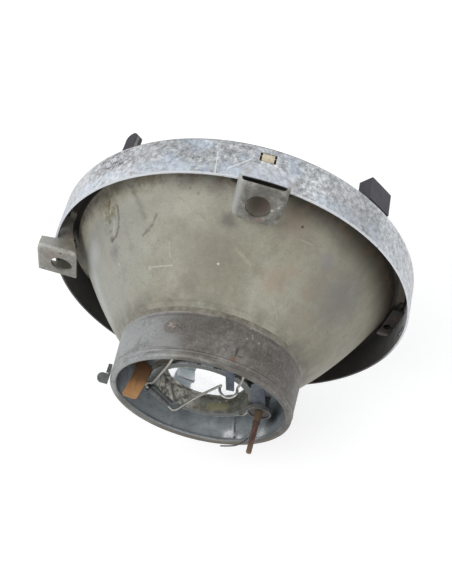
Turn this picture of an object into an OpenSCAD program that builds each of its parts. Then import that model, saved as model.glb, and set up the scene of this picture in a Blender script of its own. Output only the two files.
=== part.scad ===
// Round car headlight of the older kind: a pressed reflector and a glass lens held in a zinc rim band.
// The optical axis is Y, the lens faces -Y, and the origin lies on the axis at the band's rear edge.
// A clock angle is counted from the top (+Z) towards +X.

/* [Rim band] */
// Outer radius of the band at its rear edge
band_r = 95; // [90:0.5:102]
// How much wider the band is at its front shoulder
band_flare = 0.7; // [0.5:0.1:2]
// Depth of the band from its rear edge to its front face
band_depth = 22; // [22:0.5:28]
// Sheet thickness of the band
band_wall = 1; // [0.8:0.1:1.3]
// Radius of the rounded front shoulder
shoulder_r = 3.5; // [3:0.25:4.5]
// Width of the lip that is turned in over the lens
lip_w = 9; // [8:0.25:10.5]
// Width of the clip slots in the band
slot_w = 7.5; // [7:0.25:12]
// Height of the clip slots along the axis
slot_h = 5; // [3.6:0.1:5]
// Distance of the slots' middle from the band's rear edge
slot_back = 14.4; // [13:0.1:14.6]
// Clock angle of the upper slot in degrees
slot_clock = 0.6; // [-2:0.1:2]
// Depth of the notch in the band's rear edge over the top bracket
notch_d = 1.8; // [0.5:0.1:2.5]
// Length of the two narrow slits in the band's sides
slit_w = 10.4; // [6:0.2:12]
// Distance of the slits' middle from the band's rear edge
slit_back = 4.9; // [3:0.1:7]

/* [Lens] */
// Thickness of the lens rim
lens_rim_t = 3; // [2.5:0.25:3.5]
// Rise of the dome in front of the rim
dome_h = 20; // [12:0.5:26]
// Thickness of the dome's glass
glass_t = 4; // [3:0.25:5]
// Width of one flute on the inside of the glass
flute_w = 8; // [6:0.5:12]
// Depth of one flute
flute_h = 0.9; // [0.5:0.1:1.4]
// Thickness of the rubber seal behind the lens
seal_t = 1; // [0.75:0.25:1.25]

/* [Reflector] */
// Focal length of the bowl
focal = 25; // [24:0.25:27]
// Sheet thickness of the bowl
bowl_wall = 0.9; // [0.7:0.05:1.1]
// How far the bowl's edge lies inside the band
bowl_inset = 9.5; // [9:0.25:10.5]
// Height of the shoulder between the bowl and its flange
bowl_shoulder = 3.9; // [3.6:0.1:4.4]

/* [Bulb cup] */
// Radius of the cup that takes the bulb's 45 mm flange
cup_r = 23.1; // [22.8:0.05:23.3]
// Sheet thickness of the cup
cup_wall = 1; // [0.8:0.05:1.1]
// Depth of the cup from its rear face to its seat
cup_depth = 7.8; // [6:0.1:9]
// Width of the seat that the bulb's flange rests on
seat_w = 3.1; // [2:0.1:4]
// Width of the cup's rear flange
cup_flange_w = 2.9; // [2.2:0.1:3.2]
// Distance of the cup's rear face in front of the bowl's vertex
cup_inset = 3.2; // [2.8:0.1:3.4]

/* [Rear collar] */
// Outer radius of the collar at its rear lip
collar_r = 45.4; // [44.5:0.1:48]
// Outer radius of the collar where it meets the bowl
collar_base_r = 46.7; // [46:0.1:50]
// How far the lip stands behind the bowl's vertex
collar_back = 4.4; // [3.8:0.1:7]
// Sheet thickness of the collar
collar_wall = 1.2; // [1:0.05:1.4]
// Radius of the lip's rolled bead
bead_r = 1.65; // [1.4:0.05:1.8]
// Inner radius of the collar's floor
floor_in_r = 27.5; // [27.2:0.1:28.5]

/* [Brackets] */
// Width of a fixing bracket
bracket_w = 23; // [20:0.5:27]
// Sheet thickness of the brackets
bracket_t = 1.5; // [1.2:0.1:1.8]
// Radius of a fixing hole
hole_r = 5.65; // [4:0.05:6]
// How far a fixing hole's middle lies inside the band's radius
hole_inset = 6.5; // [5.5:0.1:7]
// How far a bracket's plate stands behind the band
bracket_back = 8.1; // [6:0.1:12]
// How far the side bracket reaches beyond the band
bracket_out = 6; // [4:0.5:8]
// How far the top bracket reaches beyond the band
top_out = 3.5; // [2:0.1:6]
// Length of a bracket's plate towards the axis from its hole
bracket_in = 8; // [7.3:0.1:9]
// Tilt of the top bracket's plate in degrees
top_tilt = 14; // [0:1:18]

/* [Bulb bail] */
// Diameter of the bail's wire
bail_d = 1.4; // [1.2:0.05:1.6]
// Distance of the bail's hinge from the optical axis
hinge_r = 26.6; // [26.4:0.1:27]
// Clock angle of the hinge
hinge_clock = 128; // [126:0.5:129]
// Length of the bail's hinge channel
hinge_len = 18; // [12:0.5:20]
// Radial clearance of the wire in its hinge channel
hinge_gap = 0.05; // [0.03:0.01:0.08]
// Radius of the bail's end loop
loop_r = 4.1; // [3.8:0.1:4.4]
// Width of the latch strip
latch_w = 3.8; // [3:0.1:4.2]

/* [Parking lamp holder] */
// Outer radius of the holder's cup
holder_r = 6.2; // [5.8:0.05:6.3]
// Outer radius of the holder's barrel
barrel_r = 4.2; // [3.6:0.05:4.3]
// Distance of the holder from the optical axis
holder_out = 29.5; // [29.4:0.1:30]
// Clock angle of the holder
holder_clock = -92.5; // [-94:0.5:-90]
// Length of the contact pin behind its insulator
pin_l = 22.5; // [14:0.5:26]
// Diameter of the contact pin at its foot
pin_d = 3.6; // [2.8:0.1:4]

/* [Earth blade] */
// Width of the earth blade
blade_w = 7.7; // [6.3:0.1:8.4]
// Thickness of the earth blade
blade_t = 0.8; // [0.6:0.05:1]
// How far the blade's tip stands behind the bowl's vertex
blade_back = 11.6; // [10:0.2:11.8]

/* [Glare shield] */
// Radius of the shield's cap
shield_r = 14; // [12:0.5:16]
// Width of the shield's strap
shield_strap_w = 10; // [7:0.5:12]
// Distance of the cap in front of the bowl's vertex
shield_front = 57; // [54:0.5:60]

/* [Rim stops] */
// How far the stops stand in front of the band
stop_h = 15.5; // [10:0.5:17]
// Width of the right stop across the rim
stop_d = 7.6; // [6:0.1:7.8]
// Width of the left stop across the rim
left_stop_d = 3.9; // [3:0.1:6]
// Length of the right stop along the rim
right_stop_l = 15; // [11:0.5:18]
// Length of the left stop along the rim
left_stop_l = 7; // [5:0.5:9]

/* [Hidden] */

$fn = 64;
// A small distance that carries a cut past the face it opens
eps = 0.5;
// Face gap between pieces that lie beside each other
side_gap = 0.3;
// Gap that keeps a flat foot off a curved sheet
foot_gap = 0.05;
// Depth of a cut that is made through a sheet from outside
cut_d = 8;
// Number of steps in which a curved profile is drawn
steps = 20;

// Places along the axis, counted rearward from the band's rear edge
front_y = -band_depth;
lens_front_y = front_y + band_wall;
lens_back_y = lens_front_y + lens_rim_t;
flange_y = lens_back_y + seal_t;
flange_back_y = flange_y + bowl_wall;
bowl_edge_y = flange_y + bowl_shoulder;
bowl_r = band_r - bowl_inset;
vertex_y = bowl_edge_y + bowl_r * bowl_r / (4 * focal);
cup_y = vertex_y - cup_inset;
lip_y = vertex_y + collar_back;

// Radii about the axis
band_front_r = band_r + band_flare;
band_in_r = band_r - band_wall;
lip_in_r = band_front_r - lip_w;
flange_r = band_r - 2.5;
flange_in_r = band_r - 6.7;
lens_r = band_r - 3;
seal_in_r = flange_in_r + 0.4;
dome_edge_r = lip_in_r - side_gap;
cup_out_r = cup_r + cup_wall;
neck_r = cup_out_r + foot_gap;
neck_out_r = neck_r + bowl_wall;
cup_flange_r = cup_out_r + cup_flange_w;
bail_r = bail_d / 2;

// A point on the bowl's back at radius r, moved out square to the sheet
function back(r, out = 0) =
    let (slope = r / (2 * focal), len = sqrt(1 + slope * slope))
    [r + out * slope / len, vertex_y - r * r / (4 * focal) + out / len];

// Height of the collar's floor at radius r
function floor_at(r) = vertex_y - r * r / (4 * focal) + collar_wall * sqrt(1 + pow(r / (2 * focal), 2));

// Height of the bowl's inside at radius r
function bowl_inside(r) = vertex_y - r * r / (4 * focal) - bowl_wall * sqrt(1 + pow(r / (2 * focal), 2));

// Points of the bowl's back from radius a to radius b
function back_line(a, b, out = 0) = [for (i = [0:steps]) back(a + (b - a) * i / steps, out)];

// Turns a profile drawn as radius and distance rearward about the optical axis
module about_axis() {
    rotate([-90, 0, 0])
        rotate_extrude($fn = 96)
            children();
}

// Turns such a profile from one clock angle to another
module sector(from, to) {
    rotate([0, from - 90, 0])
        rotate([-90, 0, 0])
            rotate_extrude(angle = to - from, $fn = 96)
                children();
}

// Turns a piece drawn at the top to a clock angle
module at_clock(a) {
    rotate([0, a, 0])
        children();
}

// A round bar along the optical axis from one distance to another
module bar_y(r, from, to) {
    translate([0, from, 0])
        rotate([-90, 0, 0])
            cylinder(r = r, h = to - from);
}

// A profile drawn as height and distance rearward, given a width across
module side_cut(width) {
    translate([-width / 2, 0, 0])
        rotate([90, 0, 90])
            linear_extrude(width)
                mirror([1, 0])
                    rotate(90)
                        children();
}

// A rectangle with round corners
module round_rect(w, h, r) {
    translate([r, 0])
        square([w - 2 * r, h]);
    translate([0, r])
        square([w, h - 2 * r]);
    for (x = [r, w - r], y = [r, h - r])
        translate([x, y])
            circle(r = r, $fn = 32);
}

// The band: rolled zinc sheet, open behind, with a rounded shoulder and a lip in front
module rim_band() {
    slit_h = 2.1;
    slit_clocks = [80, -86];
    notch_w = bracket_w - 0.7;
    color("lightsteelblue")
        difference() {
            about_axis()
                polygon(concat(
                    [[band_in_r, 0], [band_r, 0], [band_front_r, front_y + shoulder_r]],
                    [for (a = [15:15:90])
                        [band_front_r - shoulder_r * (1 - cos(a)), front_y + shoulder_r * (1 - sin(a))]],
                    [[lip_in_r, front_y], [lip_in_r, lens_front_y]],
                    [for (a = [90:-15:0])
                        [band_front_r - shoulder_r + (shoulder_r - band_wall) * cos(a),
                         front_y + shoulder_r - (shoulder_r - band_wall) * sin(a)]]
                ));
            for (a = [slot_clock, slot_clock + 180])
                at_clock(a)
                    translate([-slot_w / 2, -slot_back - slot_h / 2, band_r - cut_d / 2])
                        cube([slot_w, slot_h, cut_d]);
            translate([-notch_w / 2, -notch_d, band_r - cut_d / 2])
                cube([notch_w, notch_d + eps, cut_d]);
            for (a = slit_clocks)
                at_clock(a)
                    translate([-slit_w / 2, -slit_back - slit_h / 2, band_r - cut_d / 2])
                        cube([slit_w, slit_h, cut_d]);
        }
}

// Two spring clips that hold the reflector's flange, each with a tongue in its slot
module rim_clips() {
    clip_w = slot_w - 1.9;
    clip_t = 0.8;
    clip_in_r = band_in_r - clip_t - side_gap;
    hook_l = 3;
    arm_l = -slot_back + slot_h / 2 - side_gap - flange_back_y;
    tongue_r = band_r + band_flare * 0.6;
    color("goldenrod")
        for (a = [slot_clock, slot_clock + 180])
            at_clock(a)
                translate([-clip_w / 2, 0, 0]) {
                    translate([0, flange_back_y, clip_in_r - hook_l])
                        cube([clip_w, clip_t, hook_l + clip_t]);
                    translate([0, flange_back_y, clip_in_r])
                        cube([clip_w, arm_l, clip_t]);
                    translate([0, -slot_back - slot_h / 2 + side_gap, clip_in_r])
                        cube([clip_w, slot_h - 2 * side_gap, tongue_r - clip_in_r]);
                }
}

// The lens: a flat rim and a dome, with upright flutes on the inside of the glass
module lens() {
    dome_r = (dome_edge_r * dome_edge_r + dome_h * dome_h) / (2 * dome_h);
    centre_y = lens_front_y - dome_h + dome_r;
    inner_r = dome_r - glass_t;
    open_r = dome_edge_r - 4;
    core_r = inner_r * 0.7;
    count = ceil(open_r / flute_w) + 1;
    cuts = 4;
    flutes = [
        for (k = [-count:count - 1], j = [0:cuts - 1])
        let (x = (k + j / cuts) * flute_w)
        [sqrt(inner_r * inner_r - x * x) + flute_h * sin(180 * j / cuts), x]
    ];
    last_x = count * flute_w;
    color("aliceblue", 0.5)
        difference() {
            union() {
                about_axis()
                    translate([0, lens_front_y])
                        square([lens_r, lens_rim_t]);
                intersection() {
                    translate([0, centre_y, 0])
                        sphere(r = dome_r, $fn = 128);
                    bar_y(dome_edge_r, lens_front_y - dome_h - 1, lens_front_y + 1);
                }
            }
            intersection() {
                translate([0, centre_y, 0])
                    rotate([0, 90, 0])
                        rotate([0, 0, -120])
                            rotate_extrude(angle = 60, $fn = 96)
                                polygon(concat(flutes, [
                                    [sqrt(inner_r * inner_r - last_x * last_x), last_x],
                                    [core_r, last_x],
                                    [core_r, -last_x]
                                ]));
                bar_y(open_r, lens_front_y - dome_h, lens_back_y + eps);
            }
        }
}

// The rubber ring between the lens and the reflector's flange
module lens_seal() {
    color("dimgray")
        about_axis()
            translate([seal_in_r, lens_back_y])
                square([lens_r - seal_in_r, seal_t]);
}

// The hole for the parking lamp, through whatever lies at the holder
module holder_hole(r) {
    at_clock(holder_clock)
        translate([0, 0, holder_out])
            bar_y(r, cup_y - 2 * cut_d, cup_y + cut_d);
}

// The bowl: a parabola in thin sheet, with a drawn neck behind and a flange in front
module reflector() {
    color("darkkhaki")
        difference() {
            about_axis()
                polygon(concat(
                    [[neck_r, cup_y - cup_wall], [neck_out_r, cup_y - cup_wall]],
                    back_line(neck_out_r, bowl_r),
                    [[flange_in_r, flange_back_y], [flange_r, flange_back_y], [flange_r, flange_y],
                     [flange_in_r - bowl_wall, flange_y]],
                    back_line(bowl_r, neck_r + bowl_wall / 2, -bowl_wall),
                    [[neck_r, back(neck_r, -bowl_wall)[1]]]
                ));
            holder_hole(barrel_r + 0.2);
        }
}

// A pressed fixing bracket, drawn at the top: a holed plate with two side flanges and two feet
module fixing_bracket(tilt, reach, corner) {
    hole_z = band_r - hole_inset;
    in_z = hole_z - bracket_in;
    out_z = band_r + reach;
    bend = 3;
    beyond = 8;
    depth = bracket_back - flange_back_y + 2 * beyond;
    waist_y = -6.5;
    foot_in_r = flange_in_r + 0.7;
    foot_out_r = band_in_r - 1.8;
    side_out_r = band_in_r - 0.8;
    foot_l = 5;
    foot_turn = asin(bracket_w / 2 / (band_r - 4));
    foot_end = asin((bracket_w / 2 + foot_l) / (band_r - 4));
    side = [
        [in_z, bracket_back + beyond], [in_z, bracket_back - bracket_t - 1],
        [in_z + 1.5, bracket_back - 3.5], [flange_in_r - 1, waist_y],
        [foot_in_r - 0.1, bowl_edge_y - 1.4], [foot_in_r, flange_back_y], [foot_out_r, flange_back_y],
        [side_out_r, bowl_edge_y - 1], [side_out_r, side_gap], [out_z, side_gap + 0.9],
        [out_z, bracket_back + beyond]
    ];
    color("darkgray") {
        difference() {
            intersection() {
                translate([0, bracket_back, hole_z])
                    rotate([tilt, 0, 0])
                        translate([0, 0, -depth])
                            linear_extrude(2 * depth)
                                difference() {
                                    translate([-bracket_w / 2, -depth])
                                        round_rect(bracket_w, depth, bend);
                                    translate([-bracket_w / 2 + bracket_t, -depth - beyond])
                                        round_rect(bracket_w - 2 * bracket_t, depth + beyond - bracket_t,
                                                   bend - bracket_t);
                                }
                side_cut(bracket_w + 2)
                    polygon(side);
                translate([-bracket_w / 2, depth, in_z])
                    rotate([90, 0, 0])
                        linear_extrude(2 * depth)
                            union() {
                                round_rect(bracket_w, out_z - in_z, corner);
                                translate([0, 2 * corner])
                                    square([bracket_w, out_z - in_z - 2 * corner]);
                            }
            }
            translate([0, bracket_back, hole_z])
                rotate([tilt, 0, 0])
                    bar_y(hole_r, -bracket_t - eps, eps);
        }
        for (m = [0, 1])
            mirror([m, 0, 0])
                sector(foot_turn - 0.9, foot_end)
                    translate([foot_in_r, flange_back_y])
                        square([foot_out_r - foot_in_r, bracket_t]);
    }
}

module top_bracket() {
    fixing_bracket(top_tilt, top_out, 5.5);
}

module side_bracket() {
    at_clock(90)
        fixing_bracket(0, bracket_out, 2);
}

// The third bracket: a low holed saddle inside the band, with a rounded lip at its lower end
module pivot_bracket() {
    saddle_w = 26;
    saddle_h = 3.6;
    saddle_in = bowl_r + 1.2;
    saddle_out = band_in_r - 1.1;
    leg_in = flange_in_r + 0.7;
    leg_out = flange_r - 1.6;
    foot_l = 4;
    lip_r = 1.5;
    stud_r = 2.4;
    top_y = flange_back_y + saddle_h;
    color("gray")
        at_clock(-90.5)
            difference() {
                union() {
                    translate([-saddle_w / 2, top_y - bracket_t, saddle_in])
                        cube([saddle_w, bracket_t, saddle_out - saddle_in]);
                    for (x = [-saddle_w / 2, saddle_w / 2 - bracket_t])
                        translate([x, flange_back_y, leg_in])
                            cube([bracket_t, saddle_h - 0.1, leg_out - leg_in]);
                    for (x = [-saddle_w / 2 - foot_l, saddle_w / 2 - 0.1])
                        translate([x, flange_back_y, leg_in])
                            cube([foot_l + 0.1, bracket_t, leg_out - leg_in]);
                    translate([-saddle_w / 2, top_y - lip_r, saddle_in + 0.6])
                        cylinder(r = lip_r, h = saddle_out - saddle_in - 1.2);
                }
                translate([-saddle_w * 0.15, 0, (saddle_in + saddle_out) / 2])
                    bar_y(stud_r, flange_back_y, top_y + eps);
            }
}

// The drawn cup with its seat, and the ear on its flange that carries the bail's hinge
module bulb_cup() {
    seat_y = cup_y - cup_depth;
    seat_in_r = cup_r - seat_w;
    ear_w = hinge_len - 1;
    ear_in_r = cup_out_r + 0.4;
    ear_out_r = hinge_r + 3.6;
    color("darkseagreen")
        difference() {
            union() {
                about_axis()
                    polygon([
                        [seat_in_r, seat_y - cup_wall], [cup_out_r, seat_y - cup_wall],
                        [cup_out_r, cup_y - cup_wall], [cup_flange_r, cup_y - cup_wall],
                        [cup_flange_r, cup_y], [cup_r, cup_y], [cup_r, seat_y], [seat_in_r, seat_y]
                    ]);
                at_clock(hinge_clock)
                    translate([-ear_w / 2, cup_y - cup_wall, ear_in_r])
                        cube([ear_w, cup_wall, ear_out_r - ear_in_r]);
            }
            holder_hole(barrel_r + side_gap);
        }
}

// Outer radius of the collar's wall at a distance y along the axis
function wall_at(y) =
    let (wall_top = lip_y - bead_r, base_y = back(collar_base_r)[1])
    collar_r + (collar_base_r - collar_r) * (wall_top - y) / (wall_top - base_y);

// Trims what stands on the collar's floor to the floor's shape
module off_the_floor() {
    in_r = floor_in_r - 4;
    out_r = collar_r - 1;
    low_y = back(out_r)[1] - cut_d;
    difference() {
        children();
        about_axis()
            polygon(concat(
                back_line(in_r, out_r, collar_wall + foot_gap),
                [[out_r, low_y], [in_r, low_y]]
            ));
    }
}

// Radius of the small rib rolled into the collar's wall, and how far out it reaches
rib_r = 0.7;
rib_out_r = collar_r + rib_r / 2;

// The collar: a pressed ring with its own floor on the bowl's back and a rolled lip
module rear_collar() {
    bead_c = collar_r - bead_r;
    wall_top = lip_y - bead_r;
    rib_y = lip_y - 2.4 * bead_r;
    tab_w = 2.4;
    tab_l = 3.6;
    tab_h = 0.91;
    tab_y = vertex_y - 6.5;
    base_in_r = collar_base_r - collar_wall * 1.7;
    groove_w = 0.6;
    groove_l = 14;
    groove_d = 1.6;
    groove_y = lip_y - 10.5;
    color("slategray")
        difference() {
            union() {
                about_axis()
                    polygon(concat(
                        back_line(floor_in_r, collar_base_r),
                        [[collar_r, wall_top], [collar_r - collar_wall, wall_top]],
                        back_line(base_in_r, floor_in_r, collar_wall)
                    ));
                translate([0, wall_top, 0])
                    rotate([-90, 0, 0])
                        rotate_extrude($fn = 96)
                            translate([bead_c, 0])
                                circle(r = bead_r, $fn = 24);
                translate([0, rib_y, 0])
                    rotate([-90, 0, 0])
                        rotate_extrude($fn = 96)
                            translate([rib_out_r - rib_r, 0])
                                circle(r = rib_r, $fn = 16);
                at_clock(-13)
                    translate([-tab_w / 2, tab_y, wall_at(tab_y) - collar_wall * 0.75])
                        cube([tab_w, tab_l, collar_wall * 0.75 + tab_h]);
            }
            holder_hole(barrel_r + side_gap);
            at_clock(-147)
                translate([0, groove_y, collar_r - collar_wall - 0.5])
                    rotate([0, 0, 12])
                        cube([groove_w, groove_l, groove_d], center = true);
        }
}

// Two small lugs on the collar's side, a square one and a round-ended one
module collar_lug() {
    lug_t = 1.5;
    lug_r = 2.5;
    lug_gap = 0.45;
    lug_y = lip_y - 0.6;
    lug_mid_r = collar_r + 3.6;
    neck_h = 3.4;
    square_y = lip_y - 8.4;
    square_end_y = square_y + 4.4;
    square_out_r = collar_r + 2.6;
    square_end_r = max(wall_at(square_end_y) + lug_gap, rib_out_r + 0.2);
    web_t = 0.9;
    color("slategray")
        at_clock(90)
            translate([-lug_t / 2, 0, 0])
                rotate([90, 0, 90])
                    linear_extrude(lug_t) {
                        polygon([
                            [square_y, wall_at(square_y) + lug_gap], [square_end_y, square_end_r],
                            [square_end_y, square_out_r], [square_y, square_out_r]
                        ]);
                        translate([lug_y - lug_r, collar_r + lug_gap])
                            square([2 * lug_r, neck_h]);
                        translate([square_end_y - 0.1, collar_r + lug_gap])
                            square([lug_y - square_end_y, web_t]);
                        translate([lug_y, lug_mid_r])
                            circle(r = lug_r, $fn = 32);
                    }
}

// A spot weld on the collar's wall, raised a little by rust
module collar_weld() {
    weld_y = vertex_y - 11.6;
    weld_r = 3.6;
    weld_h = 0.9;
    wall_r = max(wall_at(weld_y - weld_r), wall_at(weld_y + weld_r));
    color("rosybrown")
        at_clock(30)
            translate([0, weld_y, wall_r])
                scale([1, 0.8, 1])
                    cylinder(r1 = weld_r, r2 = weld_r * 0.67, h = weld_h, $fn = 24);
}

// Profile of the folded hinge channel, drawn about the wire's middle
module channel_profile(leaf_in, leaf_out, leaf_t) {
    difference() {
        union() {
            translate([-leaf_in, -hinge_drop])
                square([leaf_in + leaf_out, leaf_t]);
            translate([-hinge_drop, -hinge_drop])
                square([2 * hinge_drop, hinge_drop]);
            circle(r = hinge_drop, $fn = 32);
        }
        circle(r = bail_r + hinge_gap, $fn = 32);
    }
}

// Outer radius of the hinge channel, which is also the wire's height over the cup's flange
hinge_drop = bail_r + hinge_gap + 0.75;
hinge_y = cup_y + hinge_drop;

// The folded strap in which the bail's wire turns
module bail_saddle() {
    leaf_in = hinge_r - cup_r - side_gap;
    leaf_out = 3;
    color("slategray")
        at_clock(hinge_clock)
            translate([-hinge_len / 2, hinge_y, hinge_r])
                rotate([90, 0, 90])
                    linear_extrude(hinge_len)
                        rotate(90)
                            mirror([1, 0])
                                rotate(180)
                                    channel_profile(leaf_in, leaf_out, 1.1);
}

// Unit vectors of the hinge: along the wire and out from the axis
hinge_along = [sin(hinge_clock + 90), 0, cos(hinge_clock + 90)];
hinge_out = [sin(hinge_clock), 0, cos(hinge_clock)];
hinge_mid = hinge_r * hinge_out + [0, hinge_y, 0];
wire_up = hinge_len / 2 + 2;
wire_down = hinge_len / 2 + 4.6;

// The latch strip's tip and the loop's middle round it
latch_tip = [-11.4, vertex_y + 3.2, 21.8];
loop_mid = latch_tip + [0.7, -0.9, -0.2];

// The bail's route, by hand from one end of the hinge to the other round the end loop
bail_route = concat(
    [
        for (in = [1, 0.3, -0.8]) hinge_mid - (wire_up - in) * hinge_along
    ],
    [
        [27.6, hinge_y, -4.2],
        [25.0, hinge_y, -1.6],
        [23.6, hinge_y, 3.5],
        [21.6, hinge_y, 12],
        [19.0, hinge_y, 24],
        [16.9, hinge_y, 33.5],
        [12.5, hinge_y + 0.2, 37.4],
        [5.5, hinge_y + 0.4, 39.0],
        [-2, hinge_y + 0.6, 39.6],
        [-8.5, hinge_y + 0.6, 39.3],
        [-13, hinge_y + 0.7, 36.4],
        [-15.2, hinge_y + 0.8, 31.5],
        [-15.4, hinge_y + 1.2, 26]
    ],
    [for (a = [-20:20:200]) loop_mid + loop_r * [-cos(a), sin(a), -0.02 * a / 10]],
    [
        [-5.0, hinge_y + 1.2, 13],
        [-2.6, hinge_y + 0.7, 7],
        [1.0, hinge_y + 0.4, -1.5],
        [4.6, hinge_y + 0.1, -10.8],
        [8.0, hinge_y, -20.4],
        [9.9, hinge_y, -25.6]
    ],
    [
        for (in = [-0.8, 0.3, 1]) hinge_mid + (wire_down - in) * hinge_along
    ]
);

// A point on a smooth curve through four points, a share t of the way along its middle stretch
function smooth(a, b, c, d, t) =
    0.5 * (2 * b + (c - a) * t + (2 * a - 5 * b + 4 * c - d) * t * t + (3 * b - a - 3 * c + d) * t * t * t);

// A smooth line through a route, with n points for each stretch
function smooth_line(p, n) = concat(
    [for (i = [0:len(p) - 2], j = [0:n - 1])
        smooth(p[max(i - 1, 0)], p[i], p[i + 1], p[min(i + 2, len(p) - 1)], j / n)],
    [p[len(p) - 1]]
);

function unit(v) = v / norm(v);

// A direction that none of the wires runs along, against which their rings are turned
lean = [0.25, -0.5, 0.83];

// A ring of points round a wire
function wire_ring(p, along, r, sides) =
    let (u = unit(cross(along, lean)), v = cross(along, u))
    [for (k = [0:sides - 1]) p + r * (cos(360 * k / sides) * u + sin(360 * k / sides) * v)];

// A closed tube along a line of points
module wire(line, r, sides) {
    n = len(line);
    rings = [
        for (i = [0:n - 1])
        wire_ring(line[i], unit(line[min(i + 1, n - 1)] - line[max(i - 1, 0)]), r, sides)
    ];
    walls = [
        for (i = [0:n - 2], k = [0:sides - 1], half = [0, 1])
        let (a = i * sides + k, b = i * sides + (k + 1) % sides)
        half == 0 ? [a, b + sides, b] : [a, a + sides, b + sides]
    ];
    last = (n - 1) * sides;
    polyhedron(
        points = [for (ring = rings, p = ring) p],
        faces = concat(
            walls,
            [for (k = [1:sides - 2]) [0, k, k + 1]],
            [for (k = [1:sides - 2]) [last, last + k + 1, last + k]]
        ),
        convexity = 8
    );
}

// The wire bail: it turns in its channel and its loop lies round the latch strip
module bulb_bail() {
    color("silver") {
        wire(smooth_line(bail_route, 2), bail_r - 0.04, 8);
        translate(hinge_mid - wire_up * hinge_along)
            rotate([0, hinge_clock + 90, 0])
                cylinder(r = bail_r, h = wire_up + wire_down, $fn = 32);
    }
}

// The bent strip over whose tip the bail's loop lies
module bail_latch() {
    turn = 12;
    reach = 15.8;
    latch_t = 0.8;
    bend_y = latch_tip[1] - 1.8;
    foot_l = 4.6;
    foot_rise = 1.6;
    foot_r = norm([latch_tip[0] + reach * sin(turn), latch_tip[2] + reach * cos(turn)]);
    foot_y = floor_at(foot_r);
    color("lightslategray")
        off_the_floor()
            translate([latch_tip[0], 0, latch_tip[2]])
                rotate([0, turn, 0])
                    side_cut(latch_w)
                        polygon([
                            [0, latch_tip[1]], [0, latch_tip[1] - latch_t],
                            [reach - latch_t, bend_y - latch_t],
                            [reach - latch_t, foot_y + foot_rise],
                            [reach - foot_l, foot_y + foot_rise + foot_l * 0.7],
                            [reach - foot_l, foot_y - 1], [reach, foot_y - 2], [reach, bend_y]
                        ]);
}

// Places of the parking lamp holder
holder_x = holder_out * sin(holder_clock);
holder_z = holder_out * cos(holder_clock);
strap_t = 0.8;
strap_w = 6.4;
strap_y = cup_y + 0.1;
holder_y = strap_y + strap_t;
holder_h = 2;
holder_floor_t = 0.9;
insulator_t = 0.6;
insulator_y = holder_y + holder_floor_t;

// The strap that carries the parking lamp holder, with its foot on the collar's floor
module holder_strap() {
    bend_x = -23.6;
    bend_z = 22;
    foot_clock = atan2(bend_x, bend_z);
    bend_r = norm([bend_x, bend_z]);
    run = norm([holder_x - bend_x, holder_z - bend_z]);
    turn = atan2(holder_x - bend_x, holder_z - bend_z);
    leg_r = bend_r + 6;
    foot_end_r = min(leg_r + 5, collar_base_r - collar_wall - 1);
    color("steelblue")
        off_the_floor() difference() {
            union() {
                translate([bend_x, strap_y, bend_z])
                    rotate([0, turn, 0])
                        translate([-strap_w / 2, 0, 0])
                            cube([strap_w, strap_t, run]);
                translate([bend_x, 0, bend_z])
                    bar_y(strap_w / 2 - 0.1, strap_y, strap_y + strap_t);
                at_clock(holder_clock)
                    translate([0, 0, holder_out])
                        bar_y(holder_r - 0.4, strap_y, strap_y + strap_t);
                at_clock(foot_clock)
                    side_cut(strap_w)
                        polygon([
                            [bend_r, strap_y], [bend_r, strap_y + strap_t],
                            [bend_r + 1.4, strap_y + strap_t],
                            [leg_r + 0.6, floor_at(leg_r + 0.6) + strap_t],
                            [foot_end_r, floor_at(foot_end_r) + strap_t],
                            [foot_end_r, floor_at(foot_end_r) + foot_gap],
                            [leg_r - 0.4, floor_at(leg_r - 0.4) + foot_gap],
                            [bend_r + 0.9, strap_y]
                        ]);
            }
            holder_hole(barrel_r + 0.1);
        }
}

// The parking lamp's holder: a shallow cup on a barrel that goes through the bowl
module parking_holder() {
    barrel_front_y = cup_y - 12;
    barrel_wall = 0.7;
    holder_wall = 0.8;
    color("dimgray")
        at_clock(holder_clock)
            translate([0, 0, holder_out])
                difference() {
                    union() {
                        bar_y(barrel_r, barrel_front_y, holder_y + holder_floor_t);
                        bar_y(holder_r, holder_y, holder_y + holder_h);
                    }
                    bar_y(barrel_r - barrel_wall, barrel_front_y - 1, holder_y);
                    bar_y(holder_r - holder_wall, holder_y + holder_floor_t, holder_y + holder_h + eps);
                    bar_y(pin_d / 2 + 0.2, holder_y - eps, holder_y + holder_h);
                }
}

// The dark disc that keeps the contact pin off the holder
module holder_insulator() {
    color("black")
        at_clock(holder_clock)
            translate([0, 0, holder_out])
                difference() {
                    bar_y(holder_r - 0.9, insulator_y, insulator_y + insulator_t);
                    bar_y(pin_d / 2 + 0.1, insulator_y - eps, insulator_y + insulator_t + eps);
                }
}

// The stepped contact pin, which leans a little towards the axis
module contact_pin() {
    pin_lean = 2.4;
    pin_r = pin_d / 2;
    shank_r = pin_r - 0.25;
    end_r = pin_r - 0.45;
    color("saddlebrown")
        at_clock(holder_clock)
            translate([0, 0, holder_out]) {
                translate([0, insulator_y, 0])
                    rotate([-pin_lean, 0, 0])
                        about_axis()
                            polygon([
                                [0, 0], [pin_r, 0], [pin_r, pin_l * 0.3], [shank_r, pin_l * 0.3],
                                [shank_r, pin_l * 0.72], [end_r, pin_l * 0.74],
                                [end_r, pin_l - 0.3], [end_r - 0.35, pin_l], [0, pin_l]
                            ]);
            }
}

// A broken strand of the parking lamp's lead, still fixed to the contact pin
lead_start = [-27.05, vertex_y + 13.4, -1.8];
module pin_lead() {
    strand_r = 0.35;
    route = [
        lead_start, lead_start + [1.6, 2.0, -0.6], lead_start + [4.6, 4.4, -1.6],
        lead_start + [8.2, 5.6, -2.4], lead_start + [12.2, 6.4, -3]
    ];
    color("black")
        wire(smooth_line(route, 3), strand_r, 6);
}

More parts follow.
